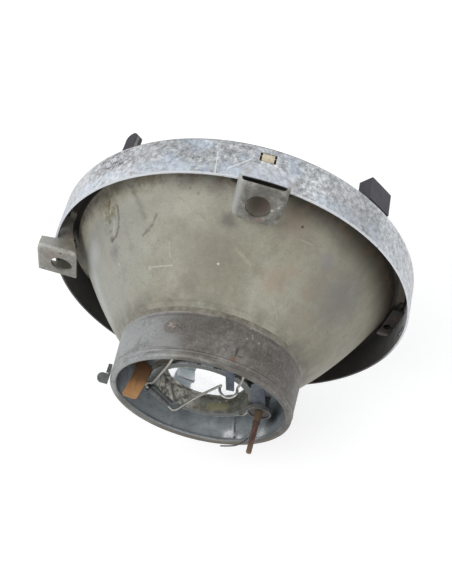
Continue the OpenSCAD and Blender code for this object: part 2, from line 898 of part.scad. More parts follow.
// The small bulb in the parking lamp holder
bulb_cap_r = barrel_r - 0.75;
bulb_cap_y = cup_y - 13.2;
module parking_bulb_cap() {
    color("khaki")
        at_clock(holder_clock)
            translate([0, 0, holder_out])
                bar_y(bulb_cap_r, bulb_cap_y, holder_y - 1.2);
}

module parking_bulb_glass() {
    bulb_r = bulb_cap_r + 0.8;
    neck_l = 3;
    color("aliceblue")
        at_clock(holder_clock)
            translate([0, 0, holder_out]) {
                bar_y(bulb_cap_r - 0.4, bulb_cap_y - neck_l, bulb_cap_y);
                translate([0, bulb_cap_y - neck_l - bulb_r * 0.7, 0])
                    sphere(r = bulb_r, $fn = 48);
            }
}

// The earth blade: a flat foot on the collar's floor and a tongue that leans outward
module earth_blade() {
    blade_z = 4;
    in_x = 27.1;
    bend_y = vertex_y + 1;
    tip_y = vertex_y + blade_back;
    tip_lean = 2.5;
    foot_from = 83;
    foot_to = 97;
    out_x = in_x + blade_w;
    base_in = floor_at(norm([floor_in_r, blade_z])) + foot_gap;
    base_out = floor_at(norm([out_x, blade_z])) + foot_gap;
    foot_low = collar_wall + foot_gap;
    color("sienna") {
        translate([0, 0, blade_z - blade_t / 2])
            linear_extrude(blade_t)
                polygon([
                    [in_x, base_in + 1], [floor_in_r + 0.4, base_in], [out_x, base_out],
                    [out_x + 0.4, bend_y], [out_x + tip_lean - 0.2, tip_y - 1],
                    [out_x + tip_lean - 1, tip_y],
                    [in_x + tip_lean + 1, tip_y + 0.3], [in_x + tip_lean + 0.2, tip_y - 0.6],
                    [in_x + 0.4, bend_y]
                ]);
        sector(foot_from, foot_to)
            polygon(concat(
                back_line(floor_in_r + 0.6, out_x, foot_low),
                back_line(out_x, floor_in_r + 0.6, foot_low + blade_t)
            ));
    }
}

// The rivet through the blade's foot, with a domed head
module blade_rivet() {
    rivet_clock = 93;
    rivet_r = 1.9;
    at_r = 31;
    slope = atan(at_r / (2 * focal));
    head = back(at_r, collar_wall + foot_gap + blade_t + 0.05);
    color("gray")
        at_clock(rivet_clock)
            translate([0, head[1], head[0]])
                rotate([slope, 0, 0]) {
                    difference() {
                        scale([1, 0.6, 1])
                            sphere(r = rivet_r, $fn = 32);
                        translate([-5, -10, -5])
                            cube([10, 10, 10]);
                    }
                }
}

// A bare link wire from the cup's flange to the holder's strap
module link_wire() {
    link_r = 0.5;
    route = [
        [-21.4, cup_y + 0.5, -13.4], [-22.6, cup_y + 1.6, -11.4], [-23.6, cup_y + 1.9, -8.4],
        [-24.0, cup_y + 1.8, -6.4], [-23.8, cup_y + 1.7, -4.8]
    ];
    color("silver")
        wire(smooth_line(route, 3), link_r, 8);
}

// The strap's route in its own radial plane: from the bowl's lower wall to the cap
shield_clock = 171;
shield_t = 0.8;
shield_y = vertex_y - shield_front;
shield_foot_r = 58;

// The cap in front of the bulb
module shield_cap() {
    cap_t = 0.8;
    cap_sphere = shield_r * 1.6;
    cap_y = shield_y + sqrt(cap_sphere * cap_sphere - shield_r * shield_r);
    color("silver")
        difference() {
            intersection() {
                translate([0, cap_y, 0])
                    sphere(r = cap_sphere, $fn = 64);
                bar_y(shield_r, shield_y - shield_r, shield_y);
            }
            translate([0, cap_y, 0])
                sphere(r = cap_sphere - cap_t, $fn = 64);
        }
}

// The strap that carries the cap, with a foot on the bowl's lower wall
module shield_strap() {
    foot_l = 8;
    foot_end_r = shield_foot_r + foot_l;
    tongue_r = shield_r - 6;
    gap = 0.4;
    slope = atan(shield_foot_r / (2 * focal));
    near = [shield_foot_r, bowl_inside(shield_foot_r) - gap];
    far = [foot_end_r, bowl_inside(foot_end_r) - gap];
    inward = shield_t * [-sin(slope), -cos(slope)];
    color("gray")
        at_clock(shield_clock)
            side_cut(shield_strap_w)
                polygon([
                    [tongue_r, shield_y], [tongue_r, shield_y + shield_t],
                    [shield_r + 1, shield_y + shield_t], far + inward + [-0.4, 0.5], near + inward,
                    near, far, far + [-0.2, -shield_t], [shield_r + 1.2, shield_y]
                ]);
}

// The two rivets that hold the strap's tongue on the cap
module shield_rivets() {
    rivet_r = 1;
    rivet_h = 0.8;
    color("gray")
        at_clock(shield_clock)
            for (x = [-shield_strap_w / 4, shield_strap_w / 4])
                translate([x, shield_y + shield_t, shield_r - 3.5])
                    bar_y(rivet_r, 0, rivet_h);
}

// Clock angles of the two stops
left_stop_clock = 46;
right_stop_clock = -36;
// How far the left stop lies outside the lip's inner edge
left_stop_in = 1.6;

// A stop on the front of the rim, drawn at the top and standing forward
module rim_stop(length, chamfer) {
    in_z = lip_in_r + 0.3;
    translate([-length / 2, front_y, in_z])
        rotate([90, 0, 0])
            linear_extrude(stop_h - chamfer)
                square([length, stop_d]);
    hull() {
        translate([-length / 2, front_y - stop_h + chamfer - 0.1, in_z])
            cube([length, 0.1, stop_d]);
        translate([-length / 2 + chamfer, front_y - stop_h, in_z + chamfer * 0.6])
            cube([length - 2 * chamfer, 0.1, stop_d - chamfer * 1.2]);
    }
}

// The left stop: a flat pad with a round end
module left_rim_stop() {
    left_h = stop_h - 2;
    round_r = 3.3;
    color("black")
        at_clock(left_stop_clock)
            translate([-left_stop_l / 2, front_y, lip_in_r + left_stop_in])
                mirror([0, 1, 0])
                    linear_extrude(left_stop_d) {
                        round_rect(left_stop_l, left_h, round_r);
                        square([left_stop_l, left_h / 2]);
                    }
}

// The right stop: a block with slanted edges at its end
module right_rim_stop() {
    color("black")
        at_clock(right_stop_clock)
            rim_stop(right_stop_l, 2.6);
}

// The thin metal strip at the left stop's end
module stop_clip() {
    clip_t = 0.6;
    clip_w = 1.3;
    clip_l = stop_h - 5.5;
    color("silver")
        at_clock(left_stop_clock)
            translate([-left_stop_l / 2 - clip_t, front_y - clip_l, lip_in_r + left_stop_d])
                cube([clip_t, clip_l, clip_w]);
}

rim_band();
rim_clips();
lens();
lens_seal();
reflector();
top_bracket();
side_bracket();
pivot_bracket();
bulb_cup();
rear_collar();
collar_lug();
collar_weld();
bail_saddle();
bulb_bail();
bail_latch();
holder_strap();
parking_holder();
holder_insulator();
contact_pin();
pin_lead();
parking_bulb_cap();
parking_bulb_glass();
earth_blade();
blade_rivet();
link_wire();
shield_cap();
shield_strap();
shield_rivets();
left_rim_stop();
right_rim_stop();
stop_clip();
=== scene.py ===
"""Looks, light and camera of a round car headlight seen from behind and above."""

import math

import bmesh
import bpy
from mathutils import Matrix, Quaternion, Vector, noise


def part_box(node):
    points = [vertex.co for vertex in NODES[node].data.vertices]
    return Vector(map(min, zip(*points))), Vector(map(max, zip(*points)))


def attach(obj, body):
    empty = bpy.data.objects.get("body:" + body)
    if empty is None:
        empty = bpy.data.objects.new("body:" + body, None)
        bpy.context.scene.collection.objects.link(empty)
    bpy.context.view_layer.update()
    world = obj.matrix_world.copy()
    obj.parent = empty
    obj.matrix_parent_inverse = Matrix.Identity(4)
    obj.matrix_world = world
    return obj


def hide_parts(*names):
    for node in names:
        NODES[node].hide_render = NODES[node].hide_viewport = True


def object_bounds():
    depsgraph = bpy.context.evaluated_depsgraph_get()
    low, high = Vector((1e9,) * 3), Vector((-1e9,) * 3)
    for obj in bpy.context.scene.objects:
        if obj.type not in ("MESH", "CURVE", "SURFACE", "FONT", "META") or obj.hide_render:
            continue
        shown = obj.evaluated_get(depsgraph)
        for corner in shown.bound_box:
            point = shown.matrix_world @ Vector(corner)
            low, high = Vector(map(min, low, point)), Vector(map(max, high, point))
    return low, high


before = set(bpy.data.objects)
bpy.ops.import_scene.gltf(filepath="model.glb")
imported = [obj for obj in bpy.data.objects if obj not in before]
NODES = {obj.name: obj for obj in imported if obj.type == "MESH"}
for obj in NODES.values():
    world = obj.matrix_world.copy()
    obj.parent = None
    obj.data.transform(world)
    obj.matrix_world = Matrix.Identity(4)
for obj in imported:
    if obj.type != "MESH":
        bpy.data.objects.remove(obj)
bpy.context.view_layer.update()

MM = 0.001

# Sizes of the lamp that the finishes need, in metres. The band widens by BAND_FLARE of its depth
# towards the front, the bowl's back is a paraboloid, and the collar's wall widens by COLLAR_TAPER of its
# depth below its top.
BAND_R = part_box("reflector")[1].x + 2.5 * MM
BAND_FRONT_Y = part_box("rim_band")[0].y
BAND_FLARE = 0.7 / 18.5
VERTEX_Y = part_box("bulb_cup")[1].y + 3.2 * MM
FOCAL = 25 * MM
LIP_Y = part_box("rear_collar")[1].y
WALL_TOP_Y = LIP_Y - 1.65 * MM
COLLAR_TAPER = 0.0529

# Radii of the walls that carry marks, and the level of the collar's foot, in millimetres
ON_BAND = 95
ON_COLLAR = 46
IN_COLLAR = 44.4
IN_CUP = 23.1
COLLAR_FOOT = 40.4

# The camera, measured in pixels of a frame of this height
FRAME_H = 584
FOCAL_PX = 762.4
CENTRE_PX = (4.24, 0.87)
CAMERA_AT = Vector((11.5, 219.5, 342.1)) * MM
CAMERA_AIM = Vector((-0.0305, -0.54557, -0.83751))
CAMERA_ROLL = math.radians(18.29)
SENSOR_WIDTH = 36.0

# Strengths of the background's light and of the floor's own, and the floor's tone, size and gap
WORLD_LIGHT = 0.42
FLOOR_GLOW = 0.62
GLASS_GAIN = 0.14
FLOOR_TONE = (196, 197, 198)
FLOOR_HALF = 6.0
FLOOR_GAP = 0.5 * MM


def on_bowl(clock, radius):
    """A place on the bowl's back, from a clock angle in degrees and a radius in millimetres."""
    a, r = math.radians(clock), radius * MM
    return Vector((r * math.sin(a), VERTEX_Y - r * r / (4 * FOCAL), r * math.cos(a)))


def on_ring(clock, radius, y):
    """A place beside the optical axis, from a clock angle in degrees, a radius and a distance rearward in
    millimetres."""
    a = math.radians(clock)
    return Vector((radius * math.sin(a), y, radius * math.cos(a))) * MM


def at(x, y, z):
    """A place given in millimetres."""
    return Vector((x, y, z)) * MM


def linear(rgb, alpha=1.0):
    """A colour in screen values from 0 to 255 as the linear colour that a shader takes."""
    part = [c / 255 for c in rgb]
    return (*[c / 12.92 if c <= 0.04045 else ((c + 0.055) / 1.055) ** 2.4 for c in part], alpha)


class Finish:
    """A node material being built. Its methods give sockets that feed one another, and paint()
    lays one tone after another over its colour."""

    def __init__(self, name, **shader):
        self.material = bpy.data.materials.new(name)
        self.material.use_nodes = True
        self.tree = self.material.node_tree
        self.shader = self.tree.nodes["Principled BSDF"]
        for socket, value in shader.items():
            self.shader.inputs[socket.replace("_", " ")].default_value = value
        self.place = self.add("ShaderNodeTexCoord").outputs["Object"]
        self.x, self.y, self.z = self.add("ShaderNodeSeparateXYZ", self.place).outputs
        self.radius = self.math("SQRT", self.math("ADD", self.math("MULTIPLY", self.x, self.x),
                                                  self.math("MULTIPLY", self.z, self.z)))
        self.colour = None

    def add(self, kind, *values, **settings):
        """A new node with its inputs, in order, linked or set."""
        node = self.tree.nodes.new(kind)
        for key, value in settings.items():
            setattr(node, key, value)
        for socket, value in zip(node.inputs, values):
            self.put(socket, value)
        return node

    def put(self, socket, value):
        """Links or sets an input. None leaves it as it is."""
        if isinstance(value, bpy.types.NodeSocket):
            self.tree.links.new(value, socket)
        elif value is not None:
            socket.default_value = value

    def math(self, operation, a, b=0.0, clamp=False):
        return self.add("ShaderNodeMath", a, b, operation=operation, use_clamp=clamp).outputs[0]

    def vector(self, operation, a, b=None, scale=None):
        node = self.add("ShaderNodeVectorMath", operation=operation)
        self.put(node.inputs[0], a)
        self.put(node.inputs[1], b)
        self.put(node.inputs[3], scale)
        return node.outputs["Value"] if operation in ("DISTANCE", "DOT_PRODUCT") else node.outputs[0]

    def step(self, value, low, high):
        """0 below low, 1 above high, smooth between. With low above high it falls instead."""
        if low > high:
            return self.inverse(self.step(value, high, low))
        return self.add("ShaderNodeMapRange", value, low, high, interpolation_type="SMOOTHSTEP").outputs[0]

    def zone(self, value, low, high):
        """A step in a place or radius, with low and high in millimetres."""
        return self.step(value, low * MM, high * MM)

    def stripe(self, value, low, high):
        """1 from low to high, in millimetres, with soft borders."""
        return self.times(self.zone(value, low, low + 0.3), self.zone(value, high, high - 0.3))

    def between(self, factor, low, high):
        """A number that goes from low to high as factor goes from 0 to 1."""
        return self.add("ShaderNodeMapRange", factor, 0.0, 1.0, low, high).outputs[0]

    def times(self, *factors):
        """The product of several masks or numbers."""
        whole = factors[0]
        for factor in factors[1:]:
            whole = self.math("MULTIPLY", whole, factor)
        return whole

    def either(self, *masks):
        """The strongest of several masks."""
        whole = masks[0]
        for mask in masks[1:]:
            whole = self.math("MAXIMUM", whole, mask)
        return whole

    def inverse(self, mask):
        """1 where the mask is 0, and 0 where it is 1."""
        return self.math("SUBTRACT", 1.0, mask)

    def blend(self, *parts):
        """The sum of several numbers, each given with its share."""
        shares = [self.math("MULTIPLY", number, share) for number, share in parts]
        whole = shares.pop()
        while shares:
            whole = self.math("ADD", shares.pop(), whole)
        return whole

    def swayed(self, value, wave, reach):
        """A place or distance made uneven by a noise, reach being in millimetres."""
        return self.math("ADD", value, self.math("MULTIPLY", self.math("SUBTRACT", wave, 0.5), reach * MM))

    def noise(self, scale, detail=5.0, rough=0.55, stretch=(1, 1, 1), shift=0.0):
        """Cloudy noise from 0 to 1. scale counts cells per metre."""
        place = self.place
        if stretch != (1, 1, 1) or shift:
            mapping = self.add("ShaderNodeMapping", place)
            mapping.inputs["Location"].default_value = (shift, shift * 1.7, shift * 0.6)
            mapping.inputs["Scale"].default_value = stretch
            place = mapping.outputs[0]
        node = self.add("ShaderNodeTexNoise")
        self.put(node.inputs["Vector"], place)
        node.inputs["Scale"].default_value = scale
        node.inputs["Detail"].default_value = detail
        node.inputs["Roughness"].default_value = rough
        return node.outputs[0]

    def specks(self, spacing, width, share=1.0, length=None, turn=(0, 0, 0), shift=0.0):
        """Small round spots, or strokes along the turned y axis where length is given. Sizes are in
        millimetres, and share is the part of the spots that shows."""
        mapping = self.add("ShaderNodeMapping", self.place, vector_type="TEXTURE")
        mapping.inputs["Location"].default_value = (shift * MM, shift * MM, shift * MM)
        mapping.inputs["Rotation"].default_value = [math.radians(a) for a in turn]
        mapping.inputs["Scale"].default_value = (1, (length or width) / width, 1)
        node = self.add("ShaderNodeTexVoronoi")
        self.put(node.inputs["Vector"], mapping.outputs[0])
        node.inputs["Scale"].default_value = 1 / (spacing * MM)
        half = width / 2 / spacing
        spot = self.step(node.outputs["Distance"], half, half * 0.4)
        draw = self.add("ShaderNodeSeparateColor", node.outputs["Color"]).outputs[0]
        return self.times(spot, self.step(draw, 1.0 - share, 1.0 - share + 0.02))

    def spot(self, place, size, ragged=0.0, soft=0.5):
        """1 round a place, 0 beyond size millimetres from it. ragged breaks up its edge."""
        away = self.vector("DISTANCE", self.place, tuple(place))
        if ragged:
            away = self.swayed(away, self.noise(300, 4, 0.6), ragged * size)
        return self.step(away, size * MM, size * MM * (1 - soft))

    def stroke(self, a, b, width, ragged=0.0, soft=0.65):
        """1 along the line from a to b, 0 beyond width millimetres from it."""
        along = b - a
        from_a = self.vector("SUBTRACT", self.place, tuple(a))
        share = self.math("DIVIDE", self.vector("DOT_PRODUCT", from_a, tuple(along)),
                          along.length_squared, clamp=True)
        foot = self.vector("SCALE", tuple(along), scale=share)
        away = self.vector("DISTANCE", from_a, foot)
        if ragged:
            away = self.swayed(away, self.noise(500, 4, 0.6), ragged * width)
        return self.step(away, width * MM, width * MM * (1 - soft))

    def line(self, points, width, ragged=0.0, soft=0.65):
        """A stroke through several places."""
        return self.either(*[self.stroke(a, b, width, ragged, soft) for a, b in zip(points, points[1:])])

    def tones(self, value, *stops):
        """A colour ramp. Each stop is (place from 0 to 1, colour in screen values)."""
        node = self.add("ShaderNodeValToRGB", value)
        ramp = node.color_ramp.elements
        while len(ramp) < len(stops):
            ramp.new(0.5)
        for element, (place, rgb) in zip(ramp, stops):
            element.position = place
            element.color = linear(rgb)
        return node.outputs[0]

    def mix(self, factor, a, b):
        """The colour a where the factor is 0 and b where it is 1."""
        node = self.add("ShaderNodeMix", data_type="RGBA", blend_type="MIX")
        factor_in, a_in, b_in = node.inputs[0], node.inputs[6], node.inputs[7]
        self.put(factor_in, factor)
        self.put(a_in, linear(a) if isinstance(a, tuple) else a)
        self.put(b_in, linear(b) if isinstance(b, tuple) else b)
        return node.outputs[2]

    def paint(self, tone, *masks):
        """Lays a tone over the colour, as far as the product of the masks lets it."""
        self.colour = self.mix(self.times(*masks), self.colour, tone)

    def bump(self, *layers):
        """Layers of (height from 0 to 1, depth in millimetres), the first below the rest."""
        normal = None
        for height, depth in layers:
            node = self.add("ShaderNodeBump")
            node.inputs["Strength"].default_value = 1.0
            node.inputs["Distance"].default_value = depth * MM
            self.put(node.inputs["Height"], height)
            self.put(node.inputs["Normal"], normal)
            normal = node.outputs[0]
        self.put(self.shader.inputs["Normal"], normal)

    def done(self, roughness=None, metallic=None):
        """The finished material. What is None here keeps what its shader has."""
        self.put(self.shader.inputs["Base Color"], self.colour)
        self.put(self.shader.inputs["Roughness"], roughness)
        self.put(self.shader.inputs["Metallic"], metallic)
        return self.material


def zinc():
    """Weathered zinc: mottled grey and white with scratches outside; inside the band, dirty and painted dark
    as shade of its deep recess.
    """
    f = Finish("zinc", Sheen_Weight=1.0, Sheen_Roughness=0.3)
    f.cloud = f.noise(34, 5, 0.6)
    f.grain = f.noise(420, 6, 0.7)
    f.fine = f.noise(1300, 3, 0.6)
    zinc_skin(f)
    zinc_sides(f)
    slot_patch = zinc_near_slot(f)
    wear = zinc_scratches(f)
    zinc_edges(f)
    inside = inside_band(f)
    # The band's inner wall: dirty, and painted dark as the shade of its deep recess.
    inner_dirt_and_shade = f.tones(f.noise(120, 5, 0.6), (0.35, (46, 45, 43)), (0.6, (54, 52, 50)), (0.8, (74, 67, 62)))
    f.paint(inner_dirt_and_shade, inside)
    pits = f.math("ADD", f.fine, f.math("MULTIPLY", wear, -0.6))
    f.bump((f.cloud, 0.4), (f.grain, 0.14), (pits, 0.04), (slot_patch, 0.3))
    rough = f.math("ADD", f.between(f.grain, 0.42, 0.74), f.times(inside, 0.4), clamp=True)
    return f.done(rough, f.between(inside, 0.4, 0.0))


def zinc_skin(f):
    """The skin's mottle, its blue grey, brown grey and dark patches, and a bloom near the rear edge."""
    f.mottle = f.blend((f.cloud, 0.3), (f.grain, 0.7))
    f.patches = f.noise(85, 4, 0.6, shift=3.1)
    f.colour = f.tones(f.mottle, (0.37, (96, 98, 101)), (0.45, (144, 147, 151)),
                       (0.53, (184, 187, 190)), (0.64, (232, 234, 237)))
    f.paint((192, 207, 226), f.step(f.patches, 0.50, 0.64), 0.38)
    f.paint((150, 148, 138), f.step(f.noise(60, 5, 0.7, shift=7.7), 0.53, 0.66), 0.42)
    f.paint((104, 105, 108), f.step(f.fine, 0.56, 0.66), 0.55)
    bloom = f.times(f.zone(f.y, -9, -3), f.step(f.noise(45, 3, 0.6, shift=5.5), 0.40, 0.56))
    f.paint((206, 216, 229), bloom, f.between(f.grain, 0.0, 0.85))


def zinc_sides(f):
    """Duller right of the top; brighter at the far left and right and pale blue near the rear edge at the
    left, a painted highlight; worn dark at the upper left.
    """
    dull = f.times(f.zone(f.x, -24, -36), f.zone(f.x, -66, -50), f.zone(f.z, 40, 60))
    f.paint((134, 136, 140), dull, 0.3)
    # Painted highlight: the white surroundings seen at grazing angles, painted as brighter zinc at the far
    # left and right and pale blue at the left.
    left = f.zone(f.x, 40, 84)
    far_right = f.zone(f.x, -52, -80)
    bright = f.tones(f.mottle, (0.38, (150, 150, 154)), (0.46, (206, 209, 214)),
                     (0.55, (240, 243, 249)), (0.64, (255, 255, 255)))
    f.paint(bright, f.either(f.times(left, 0.9), f.times(far_right, 0.6)))
    f.paint((206, 221, 238), left, f.zone(f.y, -9, -4), f.step(f.patches, 0.44, 0.58), 0.6)
    middle_of_wall = f.times(f.zone(f.y, -6, -10), f.zone(f.y, -21, -18))
    worn = f.times(f.spot(on_ring(47, ON_BAND, -14), 24, 0.6, 0.9), middle_of_wall)
    f.paint((92, 88, 90), worn, f.step(f.noise(520, 4, 0.7, shift=2.5), 0.49, 0.57), 0.85)


def zinc_near_slot(f):
    """A pale raised patch round the upper clip's slot, with two faint brown spots. Gives the patch."""
    across = f.times(f.zone(f.x, -13.2, -12.2), f.zone(f.x, 9.5, 7.5))
    patch = f.times(across, f.zone(f.z, 80, 81), f.zone(f.y, -10.4, -8.8))
    f.paint((204, 209, 220), patch, f.between(f.grain, 0.2, 0.8))
    for clock in (-7.2, 5.0):
        f.paint((150, 134, 124), f.spot(on_ring(clock, ON_BAND, -4), 3.0, 1.0, 0.8), 0.4)
    return patch


def zinc_scratches(f):
    """A long scratch, a seam and many short strokes, pale and dark. Gives the mask of the pale ones."""
    scratch = f.stroke(on_ring(10.3, 95.2, -4), on_ring(4.6, 95.6, -12), 0.45, 0.6)
    seam = f.stroke(on_ring(14.1, 95.5, -13), on_ring(13.2, 95, 0), 0.35, 0.8)
    strokes = f.either(f.specks(1.6, 0.5, 0.5, 4.0, (0, 0, 12)),
                       f.specks(1.9, 0.45, 0.4, 5.0, (20, 0, -25), 31.0))
    wear = f.either(scratch, seam, f.times(strokes, 0.75))
    f.paint((230, 232, 235), wear, 0.75)
    f.paint((116, 117, 120), f.specks(1.7, 0.5, 0.5, 3.0, (10, 0, 8), 57.0), 0.4)
    return wear


def zinc_edges(f):
    """The band's rear edge: a painted highlight, broken like wear, along its upper part, and painted shade
    along its lower part.
    """
    upper = f.zone(f.z, -24, 4)
    # Painted highlight where the upper edge catches the light, painted shade where the lower edge faces away
    # from it.
    f.paint((226, 229, 233), f.zone(f.y, -0.75, -0.2), upper, f.step(f.grain, 0.30, 0.44), 0.9)
    f.paint((70, 66, 62), f.zone(f.y, -3.0, -1.0), f.inverse(upper), 0.9)


def inside_band(f):
    """1 on the band's inner wall, between its rear edge and its front lip."""
    wall = f.math("ADD", f.radius, f.math("MULTIPLY", f.y, BAND_FLARE))
    inner = f.step(wall, BAND_R - 0.3 * MM, BAND_R - 0.5 * MM)
    behind_lip = f.step(f.y, BAND_FRONT_Y + 0.4 * MM, BAND_FRONT_Y + 1.2 * MM)
    return f.times(inner, f.zone(f.y, -0.15, -0.6), behind_lip)


def bowl_paint():
    """Beige paint, grimy and scratched, with painted light and shade, on the back; bright silvering inside.
    """
    f = Finish("bowl_paint")
    f.cloud = f.noise(38, 5, 0.6)
    f.mottle = f.noise(130, 5, 0.65, shift=4.4)
    f.grain = f.noise(420, 4, 0.6)
    f.shaded_side = f.zone(f.x, 16, -26)
    # The rim's zone at the left, under the band, is painted pale: painted light that lifts the band's shade
    # there.
    f.lit_rim = f.times(f.zone(f.radius, 77, 83.5), f.zone(f.x, 26, 56), f.zone(f.z, -60, -36))
    bowl_base(f)
    bowl_sides(f)
    bowl_grime(f)
    hooked_scratch(f)
    dark_scratches(f)
    bowl_stains(f)
    pale_scratches(f)
    bowl_dots(f)
    raised = bowl_wear(f)
    bowl_foot_rings(f)
    shoulder = bowl_flange(f)

    square = f.times(f.radius, f.radius)
    height = f.math("ADD", f.y, f.math("DIVIDE", square, 4 * FOCAL))
    back = f.step(height, VERTEX_Y - 0.75 * MM, VERTEX_Y - 0.35 * MM)
    outside = f.either(back, f.zone(f.radius, 84.7, 85.2))
    silver = f.tones(f.noise(60, 4, 0.6), (0.3, (232, 233, 234)), (0.7, (249, 249, 250)))
    f.colour = f.mix(outside, silver, f.colour)
    dull = f.either(f.between(f.cloud, 0.42, 0.62), f.times(shoulder, 0.9))
    f.bump((f.noise(45, 3, 0.5), 0.5), (f.grain, 0.03), (raised, -0.05))
    return f.done(f.between(outside, 0.16, dull), f.between(outside, 1.0, 0.0))


def bowl_base(f):
    """Cloudy beige, painted paler to the left where the key light falls, darker in the upper middle, with
    fine grain.
    """
    wide = f.noise(11, 4, 0.55, shift=1.3)
    fine = f.noise(1100, 3, 0.6)
    f.colour = f.tones(f.blend((wide, 0.45), (f.cloud, 0.3), (f.mottle, 0.25)),
                       (0.36, (126, 121, 104)), (0.48, (150, 147, 130)), (0.60, (168, 166, 151)))
    # Painted light: the left of the bowl, where the key light falls, is painted paler.
    f.paint((170, 172, 168), f.zone(f.x, 22, 66), 0.55)
    f.paint((98, 93, 77), f.spot(on_bowl(11.1, 63.4), 27, 0.3, 0.95), f.between(f.cloud, 0.5, 0.9), 0.85)
    f.paint((108, 102, 90), f.step(f.grain, 0.58, 0.7), 0.25)
    f.paint((104, 100, 88), f.step(fine, 0.52, 0.66), 0.14)
    f.paint((200, 198, 184), f.step(fine, 0.48, 0.36), 0.07)


def bowl_sides(f):
    """Browner and duller to the right, with two grey patches; at the left a pale strip of painted highlight
    and a rim lifted by painted light.
    """
    brown = f.step(f.noise(30, 4, 0.6, shift=5.2), 0.52, 0.66)
    right = f.zone(f.x, -5, -50)
    f.paint((138, 124, 108), brown, f.between(right, 0.25, 0.5))
    f.paint((108, 104, 92), right, 0.08)
    f.paint((120, 121, 121), f.spot(on_bowl(-47.8, 68), 24, 0.5, 0.9), 0.55)
    f.paint((124, 132, 140), f.spot(on_bowl(-32, 73), 7, 0.8, 0.9), 0.4)
    # Painted highlight: a pale bluish strip along the bowl's left edge.
    pale = f.line([on_bowl(76, 74), on_bowl(84, 72), on_bowl(90, 66), on_bowl(96, 58)], 10, 0.5, 1.0)
    f.paint((200, 203, 205), pale, f.between(f.cloud, 0.3, 1.0), 0.75)
    # Painted light on the left rim under the band.
    f.paint(f.tones(f.mottle, (0.38, (204, 197, 176)), (0.6, (228, 224, 207))), f.lit_rim, 0.85)


def bowl_grime(f):
    """Painted shade and grimy soiling round the rim, strongest away from the left; rust spots, lighter under
    the painted light at the left; a grimy ring at the collar's foot.
    """
    # Painted shade: the rim's darkening under the band, mixed with grimy soiling, strongest on the side away
    # from the key light.
    rim_shade_and_grime = f.math("ADD", f.zone(f.radius, 70, 88), f.times(f.math("SUBTRACT", f.cloud, 0.5), 0.9))
    f.paint((62, 57, 47), f.step(rim_shade_and_grime, 0.15, 0.95), f.between(f.shaded_side, 0.05, 0.88))
    # Rust spots near the rim, in a lighter copy of their tone where the painted light of the left rim falls.
    rust_spots = f.times(f.zone(f.radius, 78, 84), f.step(f.noise(230, 5, 0.7), 0.48, 0.60))
    f.paint(f.mix(f.lit_rim, (112, 88, 74), (132, 106, 92)), rust_spots, f.between(f.lit_rim, 0.65, 0.4))
    f.paint((92, 87, 80), f.zone(f.radius, 55, 46.5), f.step(f.noise(90, 5, 0.65), 0.36, 0.6), 0.62)


def hooked_scratch(f):
    """The hooked scratch at the upper left: a dark curve, a pale inside, spots, an olive stain and a painted
    shadow below it.
    """
    curve = [on_bowl(53.4, 79.5), on_bowl(53.6, 76.4), on_bowl(55.0, 73.8), on_bowl(57.4, 71.9),
             on_bowl(60.2, 71.5)]
    f.paint((92, 88, 80), f.line(curve, 1.1, 1.6, 1.0), 0.75)
    f.paint((84, 80, 76), f.spot(on_bowl(60.4, 71.8), 2.6, 0.8, 0.8), 0.7)
    f.paint((92, 88, 78), f.spot(on_bowl(59.2, 76.6), 1.9, 1.0, 0.8), 0.6)
    f.paint((92, 88, 78), f.spot(on_bowl(60.2, 74.2), 1.5, 1.0, 0.8), 0.5)
    f.paint((198, 198, 190), f.stroke(on_bowl(56.4, 76.4), on_bowl(58.4, 72.9), 1.3, 1.6, 1.0), 0.4)
    olive = f.times(f.spot(on_bowl(58.5, 80), 10, 0.8, 0.8), f.step(f.noise(260, 5, 0.7), 0.46, 0.58))
    f.paint((120, 110, 72), olive, 0.85)
    # Painted shadow: a soft grey spot below the hooked mark.
    f.paint((118, 116, 113), f.spot(on_bowl(61.2, 68.0), 6, 1.2, 0.95), 0.65)


def dark_scratches(f):
    """A bent scratch, a broad faint one above it and a thin one towards the top bracket."""
    bent = [on_bowl(35.5, 74.2), on_bowl(37.6, 71.8), on_bowl(39.8, 70.4), on_bowl(42.8, 69.4)]
    f.paint((96, 92, 84), f.line(bent, 1.3, 2.6, 1.0), 0.62)
    broad = [on_bowl(45.3, 82.6), on_bowl(43.6, 79.4), on_bowl(40.9, 74.0)]
    f.paint((104, 101, 90), f.line(broad, 2.6, 2.2, 1.0), 0.38)
    f.paint((112, 108, 98), f.stroke(on_bowl(26.9, 78.1), on_bowl(16.6, 72.6), 0.35, 1.0), 0.4)


def pale_scratches(f):
    """Short pale scratches on the bowl."""
    for start, end, width, ragged, strength, tone in (
        ((3, 66), (-4, 63), 1.4, 2.4, 0.45, (176, 170, 150)),
        ((-19.5, 56), (-27, 51.4), 0.5, 1.6, 0.45, (184, 180, 162)),
        ((40.5, 59.9), (29.9, 59.7), 0.6, 1.4, 0.6, (200, 200, 190)),
        ((30.9, 66.6), (30.8, 62.1), 0.5, 1.4, 0.35, (192, 192, 180)),
        ((-18.4, 74.4), (-23.4, 74.6), 0.5, 0.8, 0.4, (188, 178, 160)),
        ((-5.5, 70.1), (-6, 68.7), 0.5, 0.8, 0.4, (186, 182, 168)),
    ):
        f.paint(tone, f.stroke(on_bowl(*start), on_bowl(*end), width, ragged, 1.0), strength)


def bowl_spots(f, *spots):
    """Spots on the bowl, each with its clock angle, radius, size, raggedness, softness, strength and tone."""
    for clock, radius, size, ragged, soft, strength, tone in spots:
        f.paint(tone, f.spot(on_bowl(clock, radius), size, ragged, soft), strength)


